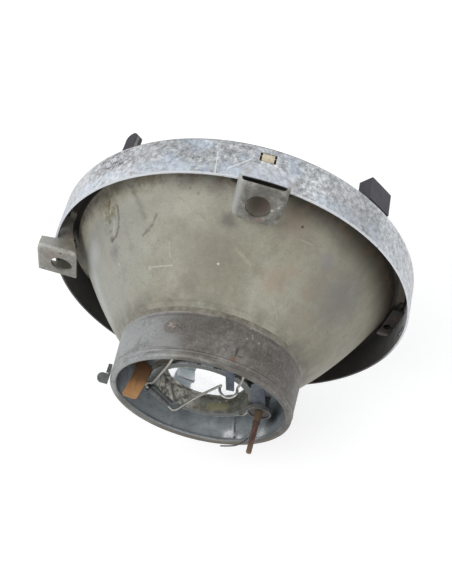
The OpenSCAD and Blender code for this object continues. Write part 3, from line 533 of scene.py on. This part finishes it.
def bowl_stains(f):
    """Grey and rusty stains round the top bracket, a painted shadow in the gap behind it and rusty stains
    further down.
    """
    bowl_spots(
        f,
        (8.5, 73, 6.5, 0.8, 0.95, 0.75, (86, 80, 76)),
        (14, 81, 8, 1.0, 0.95, 0.55, (118, 108, 104)),
        (24, 82, 7, 1.0, 0.95, 0.4, (122, 114, 108)),
        (-1, 78.5, 7.5, 0.3, 0.7, 0.8, (112, 96, 84)),
    )
    # Painted shadow in the gap behind the top bracket.
    f.paint((34, 30, 27), f.stroke(on_bowl(8.5, 84), on_bowl(-8, 84), 4.2, 0.3, 0.5), 0.95)
    bowl_spots(
        f,
        (-13.6, 78.1, 11, 0.8, 0.9, 0.5, (146, 130, 114)),
        (-15.6, 60.9, 9, 1.2, 0.95, 0.5, (156, 134, 116)),
        (-21, 65.8, 6, 1.2, 0.95, 0.35, (156, 132, 112)),
        (22.4, 54.2, 7, 1.2, 0.95, 0.45, (104, 99, 88)),
        (-40, 55, 12, 0.8, 0.95, 0.35, (128, 116, 98)),
    )


def bowl_dots(f):
    """Small dots, pale and dark, the first at the end of a scratch."""
    bowl_spots(
        f,
        (41.8, 59.7, 1.8, 0.8, 0.9, 0.6, (204, 203, 196)),
        (-16.9, 77.4, 1.0, 0.0, 0.6, 0.85, (70, 52, 44)),
        (23, 80.1, 1.0, 0.0, 0.7, 0.45, (88, 84, 78)),
        (20, 78.9, 1.2, 0.0, 0.7, 0.45, (88, 84, 78)),
        (40.9, 82.2, 0.8, 0.0, 0.6, 0.7, (214, 214, 206)),
        (9.2, 61.1, 0.8, 0.0, 0.6, 0.7, (220, 220, 206)),
        (60.1, 64.2, 0.8, 0.0, 0.6, 0.6, (210, 208, 180)),
    )


def bowl_wear(f):
    """Pale scuffs, dark dots and smears all over. Gives the mask of scuffs and dots."""
    scuffs = f.either(f.specks(3.6, 0.4, 0.4, 4.0, (30, 0, 35), 12.0),
                      f.specks(4.0, 0.4, 0.4, 5.0, (0, 40, -30), 45.0))
    f.paint((188, 186, 172), scuffs, 0.26)
    dots = f.specks(4.5, 1.0, 0.16)
    f.paint((86, 80, 70), dots, 0.5)
    f.paint((112, 108, 94), f.step(f.noise(70, 5, 0.7, (1, 0.5, 1), shift=6.6), 0.54, 0.66), 0.24)
    return f.either(dots, scuffs)


def bowl_foot_rings(f):
    """A pale and a dark ring where the bowl meets the collar's foot."""
    broken = f.step(f.mottle, 0.42, 0.56)
    f.paint((150, 146, 136), f.stripe(f.radius, 46.6, 47.8), broken, 0.3)
    f.paint((98, 92, 82), f.stripe(f.radius, 48.4, 49.4), broken, 0.2)


def bowl_flange(f):
    """The stepped flange: its shoulder painted dark as shade but for the left, brown at the upper right, and
    at the lower left painted pale as light, with painted shade higher up. Gives the mask of its shoulder."""
    shoulder = f.zone(f.radius, 84.6, 86.0)
    in_shade = f.either(f.shaded_side, f.zone(f.z, -38, -50))
    # Painted shade: the shoulder is painted near black except on the lit left.
    f.paint((38, 36, 32), shoulder, in_shade, 0.95)
    brown = f.tones(f.noise(90, 5, 0.65, shift=2.7), (0.35, (84, 78, 70)), (0.6, (98, 91, 82)),
                    (0.8, (112, 88, 74)))
    f.paint(brown, f.zone(f.radius, 86.4, 87.2), f.zone(f.x, -58, -66), f.zone(f.z, 4, 18))
    # Painted light: the flange at the lower left is painted pale against the band's shade, with painted shade
    # higher up.
    pale = f.tones(f.cloud, (0.35, (160, 157, 147)), (0.65, (192, 190, 180)))
    lit = f.mix(f.zone(f.z, -14, 2), pale, (54, 50, 45))
    f.paint(lit, f.zone(f.radius, 85.6, 86.4), f.zone(f.x, 60, 68), f.zone(f.z, -36, -28))
    return shoulder


def bare_steel(name, dark, middle, pale, metallic=0.45, rough=(0.4, 0.7), rust=0.15, depth=0.08,
               grain_scale=320):
    """Used bare steel: cloudy tones, fine grain, rust freckles and a few fine scratches."""
    f = Finish(name, Metallic=metallic)
    f.cloud = f.noise(45, 5, 0.6, shift=2.2)
    f.grain = f.noise(grain_scale, 5, 0.62)
    f.colour = f.tones(f.blend((f.cloud, 0.5), (f.grain, 0.5)), (0.34, dark), (0.5, middle), (0.66, pale))
    f.paint((112, 74, 52), f.step(f.noise(170, 5, 0.7, shift=8.8), 0.57, 0.66), rust)
    f.paint(pale, f.specks(2.4, 0.35, 0.5, 3.5, (30, 15, 60), 17.0), 0.4)
    f.bump((f.cloud, depth * 3), (f.grain, depth))
    f.put(f.shader.inputs["Roughness"], f.between(f.grain, *rough))
    return f


def plain_steel(name, dark, middle, pale, **more):
    """Bare steel, or another bare metal, with nothing painted over it."""
    return bare_steel(name, dark, middle, pale, **more).done()


def bracket_steel():
    """Grey steel of the two pressed brackets, mottled and stained."""
    f = bare_steel("bracket_steel", (96, 95, 89), (128, 128, 121), (162, 162, 156), rust=0.3)
    mottle = f.noise(360, 5, 0.72, shift=23.0)
    f.paint((84, 80, 70), f.step(mottle, 0.50, 0.60), 0.5)
    f.paint((172, 170, 162), f.step(mottle, 0.47, 0.38), 0.45)
    top_bracket_marks(f)
    side_bracket_marks(f)
    return f.done()


def top_bracket_marks(f):
    """A smooth pale flange at the left, then pale and dark spots and two rusty stains below the hole."""
    f.paint((180, 181, 178), f.zone(f.x, 6.5, 10.5), f.zone(f.x, 30, 26), f.zone(f.z, 60, 66), 0.8)
    for place, size, tone in (
        (at(-6.4, 8.1, 88.6), 0.9, (200, 198, 190)),
        (at(-8.8, 7.4, 91), 0.9, (190, 188, 180)),
        (at(-9.8, 8.8, 86), 2.4, (92, 88, 80)),
        (at(-9.2, 6, 96), 2.4, (92, 90, 80)),
        (at(-1, 5.5, 96), 8.0, (96, 93, 88)),
        (at(-2, 9.9, 81.8), 3.0, (132, 112, 104)),
        (at(-12, 8.1, 88), 1.6, (96, 90, 84)),
    ):
        f.paint(tone, f.spot(place, size, 0.9, 0.8), 0.75)
    stain = f.either(f.spot(at(7, 8.5, 76), 7, 1.0, 0.9), f.spot(at(-6, 9, 77), 7, 1.0, 0.9))
    f.paint((98, 88, 80), stain, f.step(f.grain, 0.45, 0.55), 0.6)


def side_bracket_marks(f):
    """The side bracket: painted shade along its crease, a pale end and plate, a duller web, pink stains and a
    dark spot.
    """
    # Painted shade along the rounded fold.
    f.paint((78, 75, 72), f.stroke(at(99.4, 8.4, 10.4), at(92.5, 8.2, 11.2), 0.9, 0.8), 0.65)
    f.paint((184, 185, 194), f.zone(f.x, 86, 99), f.zone(f.z, 10.5, 11.6), 0.65)
    f.paint((172, 168, 160), f.zone(f.x, 74, 80), f.zone(f.y, 6.6, 7.2), f.zone(f.z, 11.4, 10.4), 0.3)
    f.paint((186, 184, 178), f.zone(f.radius, 99.6, 100.8), 0.5)
    f.paint((144, 142, 129), f.zone(f.x, 70, 76), f.zone(f.y, 7, 5), 0.5)
    f.paint((150, 128, 118), f.zone(f.x, 60, 70), f.step(f.noise(60, 4, 0.6, shift=9.1), 0.5, 0.62), 0.35)
    f.paint((64, 60, 56), f.spot(at(88.9, 8.2, 9.8), 1.0, soft=0.6), 0.8)


def dark_steel():
    """Steel of the third bracket, painted dark as the shade it lies in inside the band, with rust freckles
    and a painted highlight on its rounded lip.
    """
    f = bare_steel("dark_steel", (34, 31, 28), (52, 48, 44), (84, 79, 74),
                   metallic=0.2, rough=(0.6, 0.85), rust=0.4)
    # Painted highlight on the rounded lip.
    f.paint((140, 138, 134), f.zone(f.z, -10, -12.4), f.zone(f.y, -16, -14), f.zone(f.x, -80, -85), 0.75)
    return f.done()


def cup_steel():
    """Olive grey on the cup's inside with a yellow patch and dark specks, grey on its flange."""
    f = bare_steel("cup_steel", (66, 66, 60), (98, 98, 91), (138, 138, 130), metallic=0.3, rust=0.25)
    f.paint((58, 54, 50), f.specks(1.5, 0.7, 0.5), 0.6)
    f.paint((182, 181, 172), f.specks(1.8, 0.6, 0.5, shift=29.0), 0.5)
    in_bore = f.zone(f.radius, 23.6, 23.3)
    f.paint((196, 194, 186), f.zone(f.x, -4, 12), in_bore, f.step(f.grain, 0.40, 0.64))
    deep = f.times(in_bore, f.zone(f.y, 52.6, 50.4))
    f.paint((44, 36, 32), deep, f.specks(3.2, 1.5, 0.6, shift=71.0), 0.8)
    f.paint((214, 212, 202), deep, f.specks(2.6, 1.1, 0.5, shift=83.0), 0.6)
    yellow = f.stroke(on_ring(-164, IN_CUP, 53.4), on_ring(-143, IN_CUP, 53.0), 3.0, 0.9)
    f.paint((142, 137, 88), yellow, f.between(f.grain, 0.25, 0.7))
    for clock, y in ((-137, 50.4), (-133, 51.6), (-129, 50.2)):
        f.paint((70, 62, 52), f.spot(on_ring(clock, IN_CUP, y), 0.9), 0.85)
    f.paint((104, 107, 108), f.zone(f.radius, 23.6, 24.3), 0.75)
    f.paint((190, 193, 194), f.zone(f.radius, 26.5, 26.9), f.step(f.grain, 0.46, 0.54), 0.9)
    return f.done()


def collar_steel():
    """Grey sheet: brown grey outside, blue grey inside with white bloom low down."""
    f = bare_steel("collar_steel", (84, 80, 76), (110, 107, 102), (140, 139, 135), rust=0.15, depth=0.06)
    from_top = f.math("SUBTRACT", f.y, WALL_TOP_Y)
    upright = f.math("ADD", f.radius, f.math("MULTIPLY", from_top, COLLAR_TAPER))
    below_lip = f.step(f.y, LIP_Y - 0.9 * MM, LIP_Y - 1.5 * MM)
    f.inside = f.times(f.zone(upright, IN_COLLAR + 0.55, IN_COLLAR + 0.3), below_lip)
    collar_outside(f)
    collar_inside(f)
    collar_marks(f)
    collar_foot(f)
    return f.done()


def collar_outside(f):
    """The outer wall: painted lighter to the left where the key light falls, speckled, dirty round the weld
    and streaked at the lip.
    """
    # Painted light on the left of the collar.
    f.paint((174, 178, 179), f.zone(f.x, 12, 36), f.between(f.cloud, 0.55, 1.0))
    speckle = f.noise(900, 4, 0.65)
    f.paint((78, 74, 70), f.step(speckle, 0.52, 0.64), 0.3)
    f.paint((170, 169, 164), f.step(speckle, 0.48, 0.36), 0.2)
    f.paint((84, 78, 72), f.step(f.noise(110, 5, 0.65, shift=11.0), 0.50, 0.64), 0.3)
    f.paint((86, 81, 76), f.spot(on_ring(20, ON_COLLAR, 47), 20, 0.6, 0.9), 0.5)
    f.paint((152, 153, 152), f.spot(on_ring(30, ON_COLLAR, 59), 11, 0.6, 0.9), 0.6)
    streaks = f.step(f.noise(240, 4, 0.6, (0.25, 2.2, 0.25), shift=3.3), 0.5, 0.62)
    near_lip = f.step(f.y, LIP_Y - 9 * MM, LIP_Y - 3 * MM)
    f.paint((78, 74, 70), streaks, near_lip, 0.5)


def collar_inside(f):
    """The inner wall: dark at the left, a painted shadow behind the holder, a rib drawn with painted
    highlight and painted shade on its two sides, and white bloom.
    """
    blue = f.tones(f.noise(60, 5, 0.65, shift=6.0), (0.34, (138, 144, 148)), (0.52, (166, 172, 176)),
                   (0.68, (192, 198, 202)))
    f.paint(blue, f.inside, 0.9)
    left_wall = f.times(f.zone(f.x, 16, 34), f.zone(f.z, -26, -8))
    f.paint((58, 66, 72), left_wall, f.inside, f.between(f.grain, 0.6, 1.0))
    lip = f.times(f.step(f.y, LIP_Y - 1.4 * MM, LIP_Y - 0.9 * MM), f.zone(f.z, -4, -20))
    f.paint((104, 99, 91), lip, 0.65)
    # The rib: painted highlight on one side, painted shade on the other.
    rib_painted_highlight = f.stroke(on_ring(-152.7, IN_COLLAR, 47), on_ring(-149.2, 44.2, 61), 0.9, 0.6)
    f.paint((206, 212, 214), rib_painted_highlight, f.inside, 0.75)
    rib_painted_shade = f.stroke(on_ring(-151, IN_COLLAR, 47), on_ring(-147.6, 44.2, 60.5), 0.9, 0.6)
    f.paint((62, 64, 66), rib_painted_shade, f.inside, 0.85)
    f.paint((92, 98, 102), f.step(f.noise(520, 4, 0.7, shift=1.9), 0.54, 0.66), f.inside, 0.35)
    # Painted shadow behind the holder.
    f.paint((26, 28, 30), f.spot(on_ring(-118, IN_COLLAR, 50), 8, 0.3, 0.8), f.inside, 0.9)
    for clock, y, size in ((-152.5, 58.2, 5.0), (-144, 60.4, 3.4), (-126, 59.2, 5.0), (-131, 61.6, 3.6)):
        bloom = f.spot(on_ring(clock, 44, y), size, 1.2, 0.95)
        f.paint((255, 255, 255), bloom, f.step(f.noise(420, 4, 0.7), 0.34, 0.52), f.inside)


def collar_marks(f):
    """Pale specks right of the weld; near the lip a pale patch and a dark line, painted light and shade of a
    raised tab, and a rusty spot.
    """
    specks = ((-15.5, 41.6), (-17.6, 44.6), (-14.9, 47.0), (-18.1, 45.8), (-22.7, 46.7), (-25.5, 41.5))
    for clock, y in specks:
        f.paint((196, 194, 186), f.spot(on_ring(clock, 46.2, y), 0.55, 0.8, 0.7), 0.65)
    # Painted light and shade: a pale patch and a dark line at its left stand for the lit face and shaded edge
    # of a raised tab.
    f.paint((134, 131, 125), f.spot(on_ring(-14.5, ON_COLLAR, 57), 4.2, 0.4, 0.6), 0.5)
    line = f.stroke(on_ring(-10.9, ON_COLLAR, 53.2), on_ring(-10.6, ON_COLLAR, 57.6), 0.8, 0.6)
    f.paint((66, 60, 56), line, 0.7)
    f.paint((128, 86, 62), f.spot(on_ring(-9.9, 45.6, 59.2), 1.9, 0.9, 0.8), 0.7)


def collar_foot(f):
    """The collar's foot in the bowl's tones, with a pale and a dark ring above it."""
    tones = f.tones(f.grain, (0.36, (108, 102, 90)), (0.52, (134, 129, 116)), (0.66, (150, 146, 134)))
    f.paint(tones, f.zone(f.y, COLLAR_FOOT + 0.8, COLLAR_FOOT), 0.85)
    broken = f.step(f.cloud, 0.38, 0.56)
    f.paint((166, 158, 152), f.stripe(f.y, COLLAR_FOOT, COLLAR_FOOT + 1.2), broken, 0.6)
    f.paint((80, 76, 72), f.stripe(f.y, COLLAR_FOOT + 1.4, COLLAR_FOOT + 2.8), broken, 0.4)


def rust():
    """Scaly crust in grey browns, pinkish at its left, greyer where it thins out."""
    f = Finish("rust")
    cloud = f.noise(380, 5, 0.7)
    grain = f.noise(1500, 4, 0.7)
    f.colour = f.tones(cloud, (0.32, (66, 60, 55)), (0.46, (104, 97, 91)), (0.58, (136, 127, 121)),
                       (0.72, (182, 174, 168)))
    f.paint((190, 172, 168), f.spot(on_ring(30, 47, 47.5), 5.4, 0.6, 0.8), f.step(cloud, 0.34, 0.5), 0.7)
    f.paint((84, 79, 74), f.spot(on_ring(21.5, 47, 50), 3.6, 0.6, 0.8), 0.6)
    f.paint((66, 60, 55), f.step(grain, 0.55, 0.68), 0.45)
    f.paint((118, 114, 110), f.zone(f.radius, 47.1, 46.7), 0.8)
    f.bump((cloud, 0.35), (grain, 0.12))
    return f.done(f.between(cloud, 0.72, 0.95), 0.0)


def pin_rust():
    """Brown oxide on the contact pin, paler at its tip, yellow brown at its foot below a dark edge."""
    f = Finish("pin_rust")
    cloud = f.noise(260, 5, 0.65, (1, 0.35, 1))
    along = f.math("SUBTRACT", f.y, VERTEX_Y)
    f.colour = f.tones(cloud, (0.34, (58, 44, 38)), (0.5, (92, 69, 59)), (0.68, (130, 104, 90)))
    f.paint((146, 122, 104), f.zone(along, 14, 19), 0.35)
    foot = f.zone(along, 4.9, 4.4)
    f.paint((98, 82, 58), foot, 0.75)
    f.paint((46, 34, 28), f.zone(along, 4.2, 4.6), f.zone(along, 5.6, 5.1), 0.7)
    f.bump((cloud, 0.12), (f.noise(1200, 4, 0.7), 0.05), (foot, 0.4))
    return f.done(f.between(cloud, 0.55, 0.8), 0.15)


def blade_metal():
    """Tarnished copper alloy: orange brown at the tip, dark brown towards the foot."""
    f = Finish("blade_metal")
    cloud = f.noise(70, 5, 0.6)
    grain = f.noise(600, 4, 0.6, (1, 0.2, 1))
    f.colour = f.tones(cloud, (0.3, (100, 72, 48)), (0.7, (136, 100, 68)))
    pale = f.tones(cloud, (0.3, (150, 108, 68)), (0.5, (170, 124, 80)), (0.7, (190, 146, 100)))
    f.paint(pale, f.step(f.swayed(f.y, cloud, 9), VERTEX_Y - 0.5 * MM, VERTEX_Y + 6.5 * MM))
    f.paint((104, 74, 50), f.step(grain, 0.55, 0.65), 0.35)
    f.bump((grain, 0.03), (cloud, 0.1))
    return f.done(f.between(grain, 0.46, 0.68), 0.35)


def rubber(name, dark, pale):
    """Dull black rubber, greyed on its faces and darker to the left."""
    f = Finish(name)
    cloud = f.noise(130, 5, 0.6)
    grain = f.noise(1400, 3, 0.6)
    f.colour = f.tones(cloud, (0.32, dark), (0.68, pale))
    f.paint((128, 128, 130), f.step(grain, 0.6, 0.72), 0.3)
    f.paint((24, 24, 28), f.zone(f.x, 0, 30), 0.5)
    f.bump((cloud, 0.15), (grain, 0.04))
    return f.done(f.between(cloud, 0.48, 0.7), 0.0)


def clear_glass(name, tint):
    """Clear glass with faint dust."""
    f = Finish(name, Transmission_Weight=1.0, IOR=1.5)
    dust = f.noise(90, 4, 0.6)
    f.colour = tint
    f.paint((236, 236, 230), f.step(dust, 0.55, 0.75), 0.15)
    return f.done(f.between(dust, 0.0, 0.05), 0.0)


def all_finishes():
    """The finish of every CAD node, by its name."""
    bracket = bracket_steel()
    wire = plain_steel("spring_wire", (118, 116, 110), (160, 158, 152), (204, 203, 198),
                       metallic=0.85, rough=(0.25, 0.42), rust=0.25, depth=0.02, grain_scale=700)
    blue = plain_steel("blue_steel", (52, 57, 66), (76, 82, 93), (108, 114, 123),
                       metallic=0.5, rough=(0.35, 0.55), rust=0.1)
    # The glare shield's steel is painted near white: painted light that makes up for the little light
    # reaching it inside the bowl.
    shield = plain_steel("shield_steel_painted_light", (210, 219, 224), (230, 238, 242), (246, 250, 252),
                         metallic=0.15, rough=(0.35, 0.5), rust=0.03)
    stops = rubber("black_rubber", (35, 35, 41), (62, 61, 72))
    return {
        "rim_band": zinc(),
        "rim_clips": plain_steel("yellow_zinc", (158, 144, 122), (198, 186, 162), (222, 214, 194),
                                 rough=(0.4, 0.65)),
        "lens": clear_glass("lens_glass", (254, 255, 255)),
        "lens_seal": rubber("seal_rubber", (34, 34, 34), (58, 57, 55)),
        "reflector": bowl_paint(),
        "top_bracket": bracket,
        "side_bracket": bracket,
        "pivot_bracket": dark_steel(),
        "bulb_cup": cup_steel(),
        "rear_collar": collar_steel(),
        "collar_lug": plain_steel("lug_steel", (72, 74, 72), (98, 100, 98), (128, 130, 128),
                                  metallic=0.3, rust=0.1),
        "collar_weld": rust(),
        "bail_saddle": plain_steel("saddle_steel", (66, 68, 68), (92, 95, 95), (126, 129, 129), rust=0.2),
        "bulb_bail": wire,
        "bail_latch": blue,
        "holder_strap": blue,
        "parking_holder": plain_steel("holder_steel", (74, 74, 72), (102, 102, 100), (136, 136, 133),
                                      rust=0.3),
        "holder_insulator": rubber("insulator_fibre", (40, 34, 30), (66, 56, 48)),
        "contact_pin": pin_rust(),
        "pin_lead": rubber("lead_wire", (40, 38, 38), (84, 80, 78)),
        "parking_bulb_cap": plain_steel("cap_brass", (148, 124, 72), (186, 160, 98), (212, 190, 130),
                                        metallic=0.9, rust=0.1),
        "parking_bulb_glass": clear_glass("small_bulb_glass", (250, 250, 248)),
        "earth_blade": blade_metal(),
        "blade_rivet": plain_steel("rivet_steel", (66, 62, 58), (96, 92, 88), (140, 138, 134), rust=0.4),
        "link_wire": wire,
        "shield_cap": shield,
        "shield_strap": shield,
        "shield_rivets": bracket,
        "left_rim_stop": stops,
        "right_rim_stop": stops,
        "stop_clip": plain_steel("clip_steel", (84, 84, 84), (112, 112, 112), (146, 146, 146), rust=0.1),
    }


def dress_nodes():
    """Every CAD node keeps its shape and takes its finish."""
    for name, material in all_finishes().items():
        slots = NODES[name].data.materials
        for index in range(len(slots)):
            slots[index] = material
        if not slots:
            slots.append(material)


def into_scene(name, data):
    """A new object with this data, linked to the scene."""
    thing = bpy.data.objects.new(name, data)
    bpy.context.scene.collection.objects.link(thing)
    return thing


def to_data(name, mesh):
    """The finished mesh of a bmesh, which is freed."""
    data = bpy.data.meshes.new(name)
    mesh.to_mesh(data)
    mesh.free()
    return data


def rust_blister(name, clock, radius, y, width, height, seed, material):
    """A lumpy crust of rust on the collar's wall, which rides on the lamp. Its sizes are in millimetres."""
    crust = bmesh.new()
    bmesh.ops.create_icosphere(crust, subdivisions=5, radius=1.0)
    turn = Matrix.Rotation(math.radians(clock), 4, "Y")
    for v in crust.verts:
        lump = noise.fractal(v.co * 2.2 + Vector((seed, 0, 0)), 0.7, 2.1, 5)
        fine = noise.fractal(v.co * 7.0 + Vector((0, seed, 0)), 0.8, 2.0, 3)
        spread = 1 + 0.16 * lump
        flat = Vector((v.co.x * width / 2 * spread, v.co.y * height / 2 * spread, 0))
        rise = v.co.z * abs(v.co.z) * (0.8 + 0.7 * lump + 0.3 * fine)
        sag = radius - math.sqrt(radius * radius - flat.x * flat.x)
        v.co = turn @ (Vector((flat.x, y + flat.y, radius - sag + rise)) * MM)
    for face in crust.faces:
        face.smooth = True
    piece = into_scene(name, to_data(name, crust))
    piece.data.materials.append(material)
    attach(piece, "lamp")
    return piece


def add_blisters():
    """The weld's crust, in two heaps. The larger one takes the CAD weld's place."""
    crust = NODES["collar_weld"].data.materials[0]
    weld = rust_blister("weld_blister", 28.5, ON_COLLAR, 48.3, 9.6, 7.2, 3.0, crust)
    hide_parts("collar_weld")
    rust_blister("weld_blister_small", 22.5, ON_COLLAR, 50.0, 6.0, 5.0, 8.0, crust)


def add_floor(middle, level):
    """A pale floor under the lamp that keeps its shadow."""
    plane = bmesh.new()
    bmesh.ops.create_grid(plane, x_segments=1, y_segments=1, size=FLOOR_HALF)
    floor = into_scene("floor", to_data("floor", plane))
    floor.location = (middle.x, middle.y, level)
    floor.data.materials.append(floor_paint())


def add_lights(middle):
    """Soft studio light from three sides. Each distance and side is in metres, each power in watts."""
    for name, direction, distance, side, power in (
        ("key", (0.75, 0.55, 1.0), 0.95, 0.55, 4.6),
        ("fill", (-1.0, 0.9, 0.7), 1.1, 0.8, 2.4),
        ("front", (-0.3, -1.0, 0.35), 1.0, 0.8, 2.4),
    ):
        lamp = bpy.data.lights.new(name, "AREA")
        lamp.size = side
        lamp.energy = power
        light = into_scene(name, lamp)
        toward = Vector(direction).normalized()
        light.location = middle + toward * distance
        light.rotation_euler = toward.to_track_quat("Z", "Y").to_euler()


def seen(tree):
    """1 for rays that show the background: straight, mirrored or through glass."""
    path = tree.nodes.new("ShaderNodeLightPath")
    whole = path.outputs["Is Camera Ray"]
    for name in ("Is Glossy Ray", "Is Transmission Ray"):
        most = tree.nodes.new("ShaderNodeMath")
        most.operation = "MAXIMUM"
        tree.links.new(whole, most.inputs[0])
        tree.links.new(path.outputs[name], most.inputs[1])
        whole = most.outputs[0]
    return whole


def scaled(tree, socket, low, high):
    """A number that goes from low to high as the socket goes from 0 to 1."""
    scale = tree.nodes.new("ShaderNodeMapRange")
    scale.inputs["To Min"].default_value = low
    scale.inputs["To Max"].default_value = high
    tree.links.new(socket, scale.inputs["Value"])
    return scale.outputs[0]


def floor_paint():
    """Pale grey that looks white to the camera except where a shadow falls."""
    material = bpy.data.materials.new("floor")
    material.use_nodes = True
    tree = material.node_tree
    shader = tree.nodes["Principled BSDF"]
    shader.inputs["Base Color"].default_value = linear(FLOOR_TONE)
    shader.inputs["Roughness"].default_value = 0.9
    shader.inputs["Specular IOR Level"].default_value = 0.0
    shader.inputs["Emission Color"].default_value = (1, 1, 1, 1)
    through_glass = tree.nodes.new("ShaderNodeLightPath").outputs["Is Transmission Ray"]
    glow = tree.nodes.new("ShaderNodeMath")
    tree.links.new(scaled(tree, seen(tree), 0.0, FLOOR_GLOW), glow.inputs[0])
    tree.links.new(scaled(tree, through_glass, 0.0, GLASS_GAIN), glow.inputs[1])
    tree.links.new(glow.outputs[0], shader.inputs["Emission Strength"])
    return material


def add_world():
    """A white background whose light on the lamp is weaker than what the camera sees."""
    world = bpy.data.worlds.new("studio")
    world.use_nodes = True
    bpy.context.scene.world = world
    tree = world.node_tree
    background = tree.nodes["Background"]
    background.inputs["Color"].default_value = (1, 1, 1, 1)
    tree.links.new(scaled(tree, seen(tree), WORLD_LIGHT, 1.0), background.inputs["Strength"])


def add_camera():
    """The camera of the photograph's view."""
    data = bpy.data.cameras.new("camera")
    data.sensor_width = SENSOR_WIDTH
    data.lens = FOCAL_PX / FRAME_H * data.sensor_width
    data.shift_x = -CENTRE_PX[0] / FRAME_H
    data.shift_y = CENTRE_PX[1] / FRAME_H
    data.dof.use_dof = False
    data.clip_start = 0.01
    data.clip_end = 20.0
    camera = into_scene("camera", data)
    camera.location = CAMERA_AT
    camera.rotation_mode = "QUATERNION"
    camera.rotation_quaternion = CAMERA_AIM.to_track_quat("-Z", "Y") @ Quaternion((0, 0, 1), CAMERA_ROLL)
    bpy.context.scene.camera = camera


dress_nodes()
add_blisters()
low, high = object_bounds()
centre = (low + high) / 2
add_floor(centre, low.z - FLOOR_GAP)
add_lights(centre)
add_world()
add_camera()
bpy.context.scene.view_settings.view_transform = "Standard"
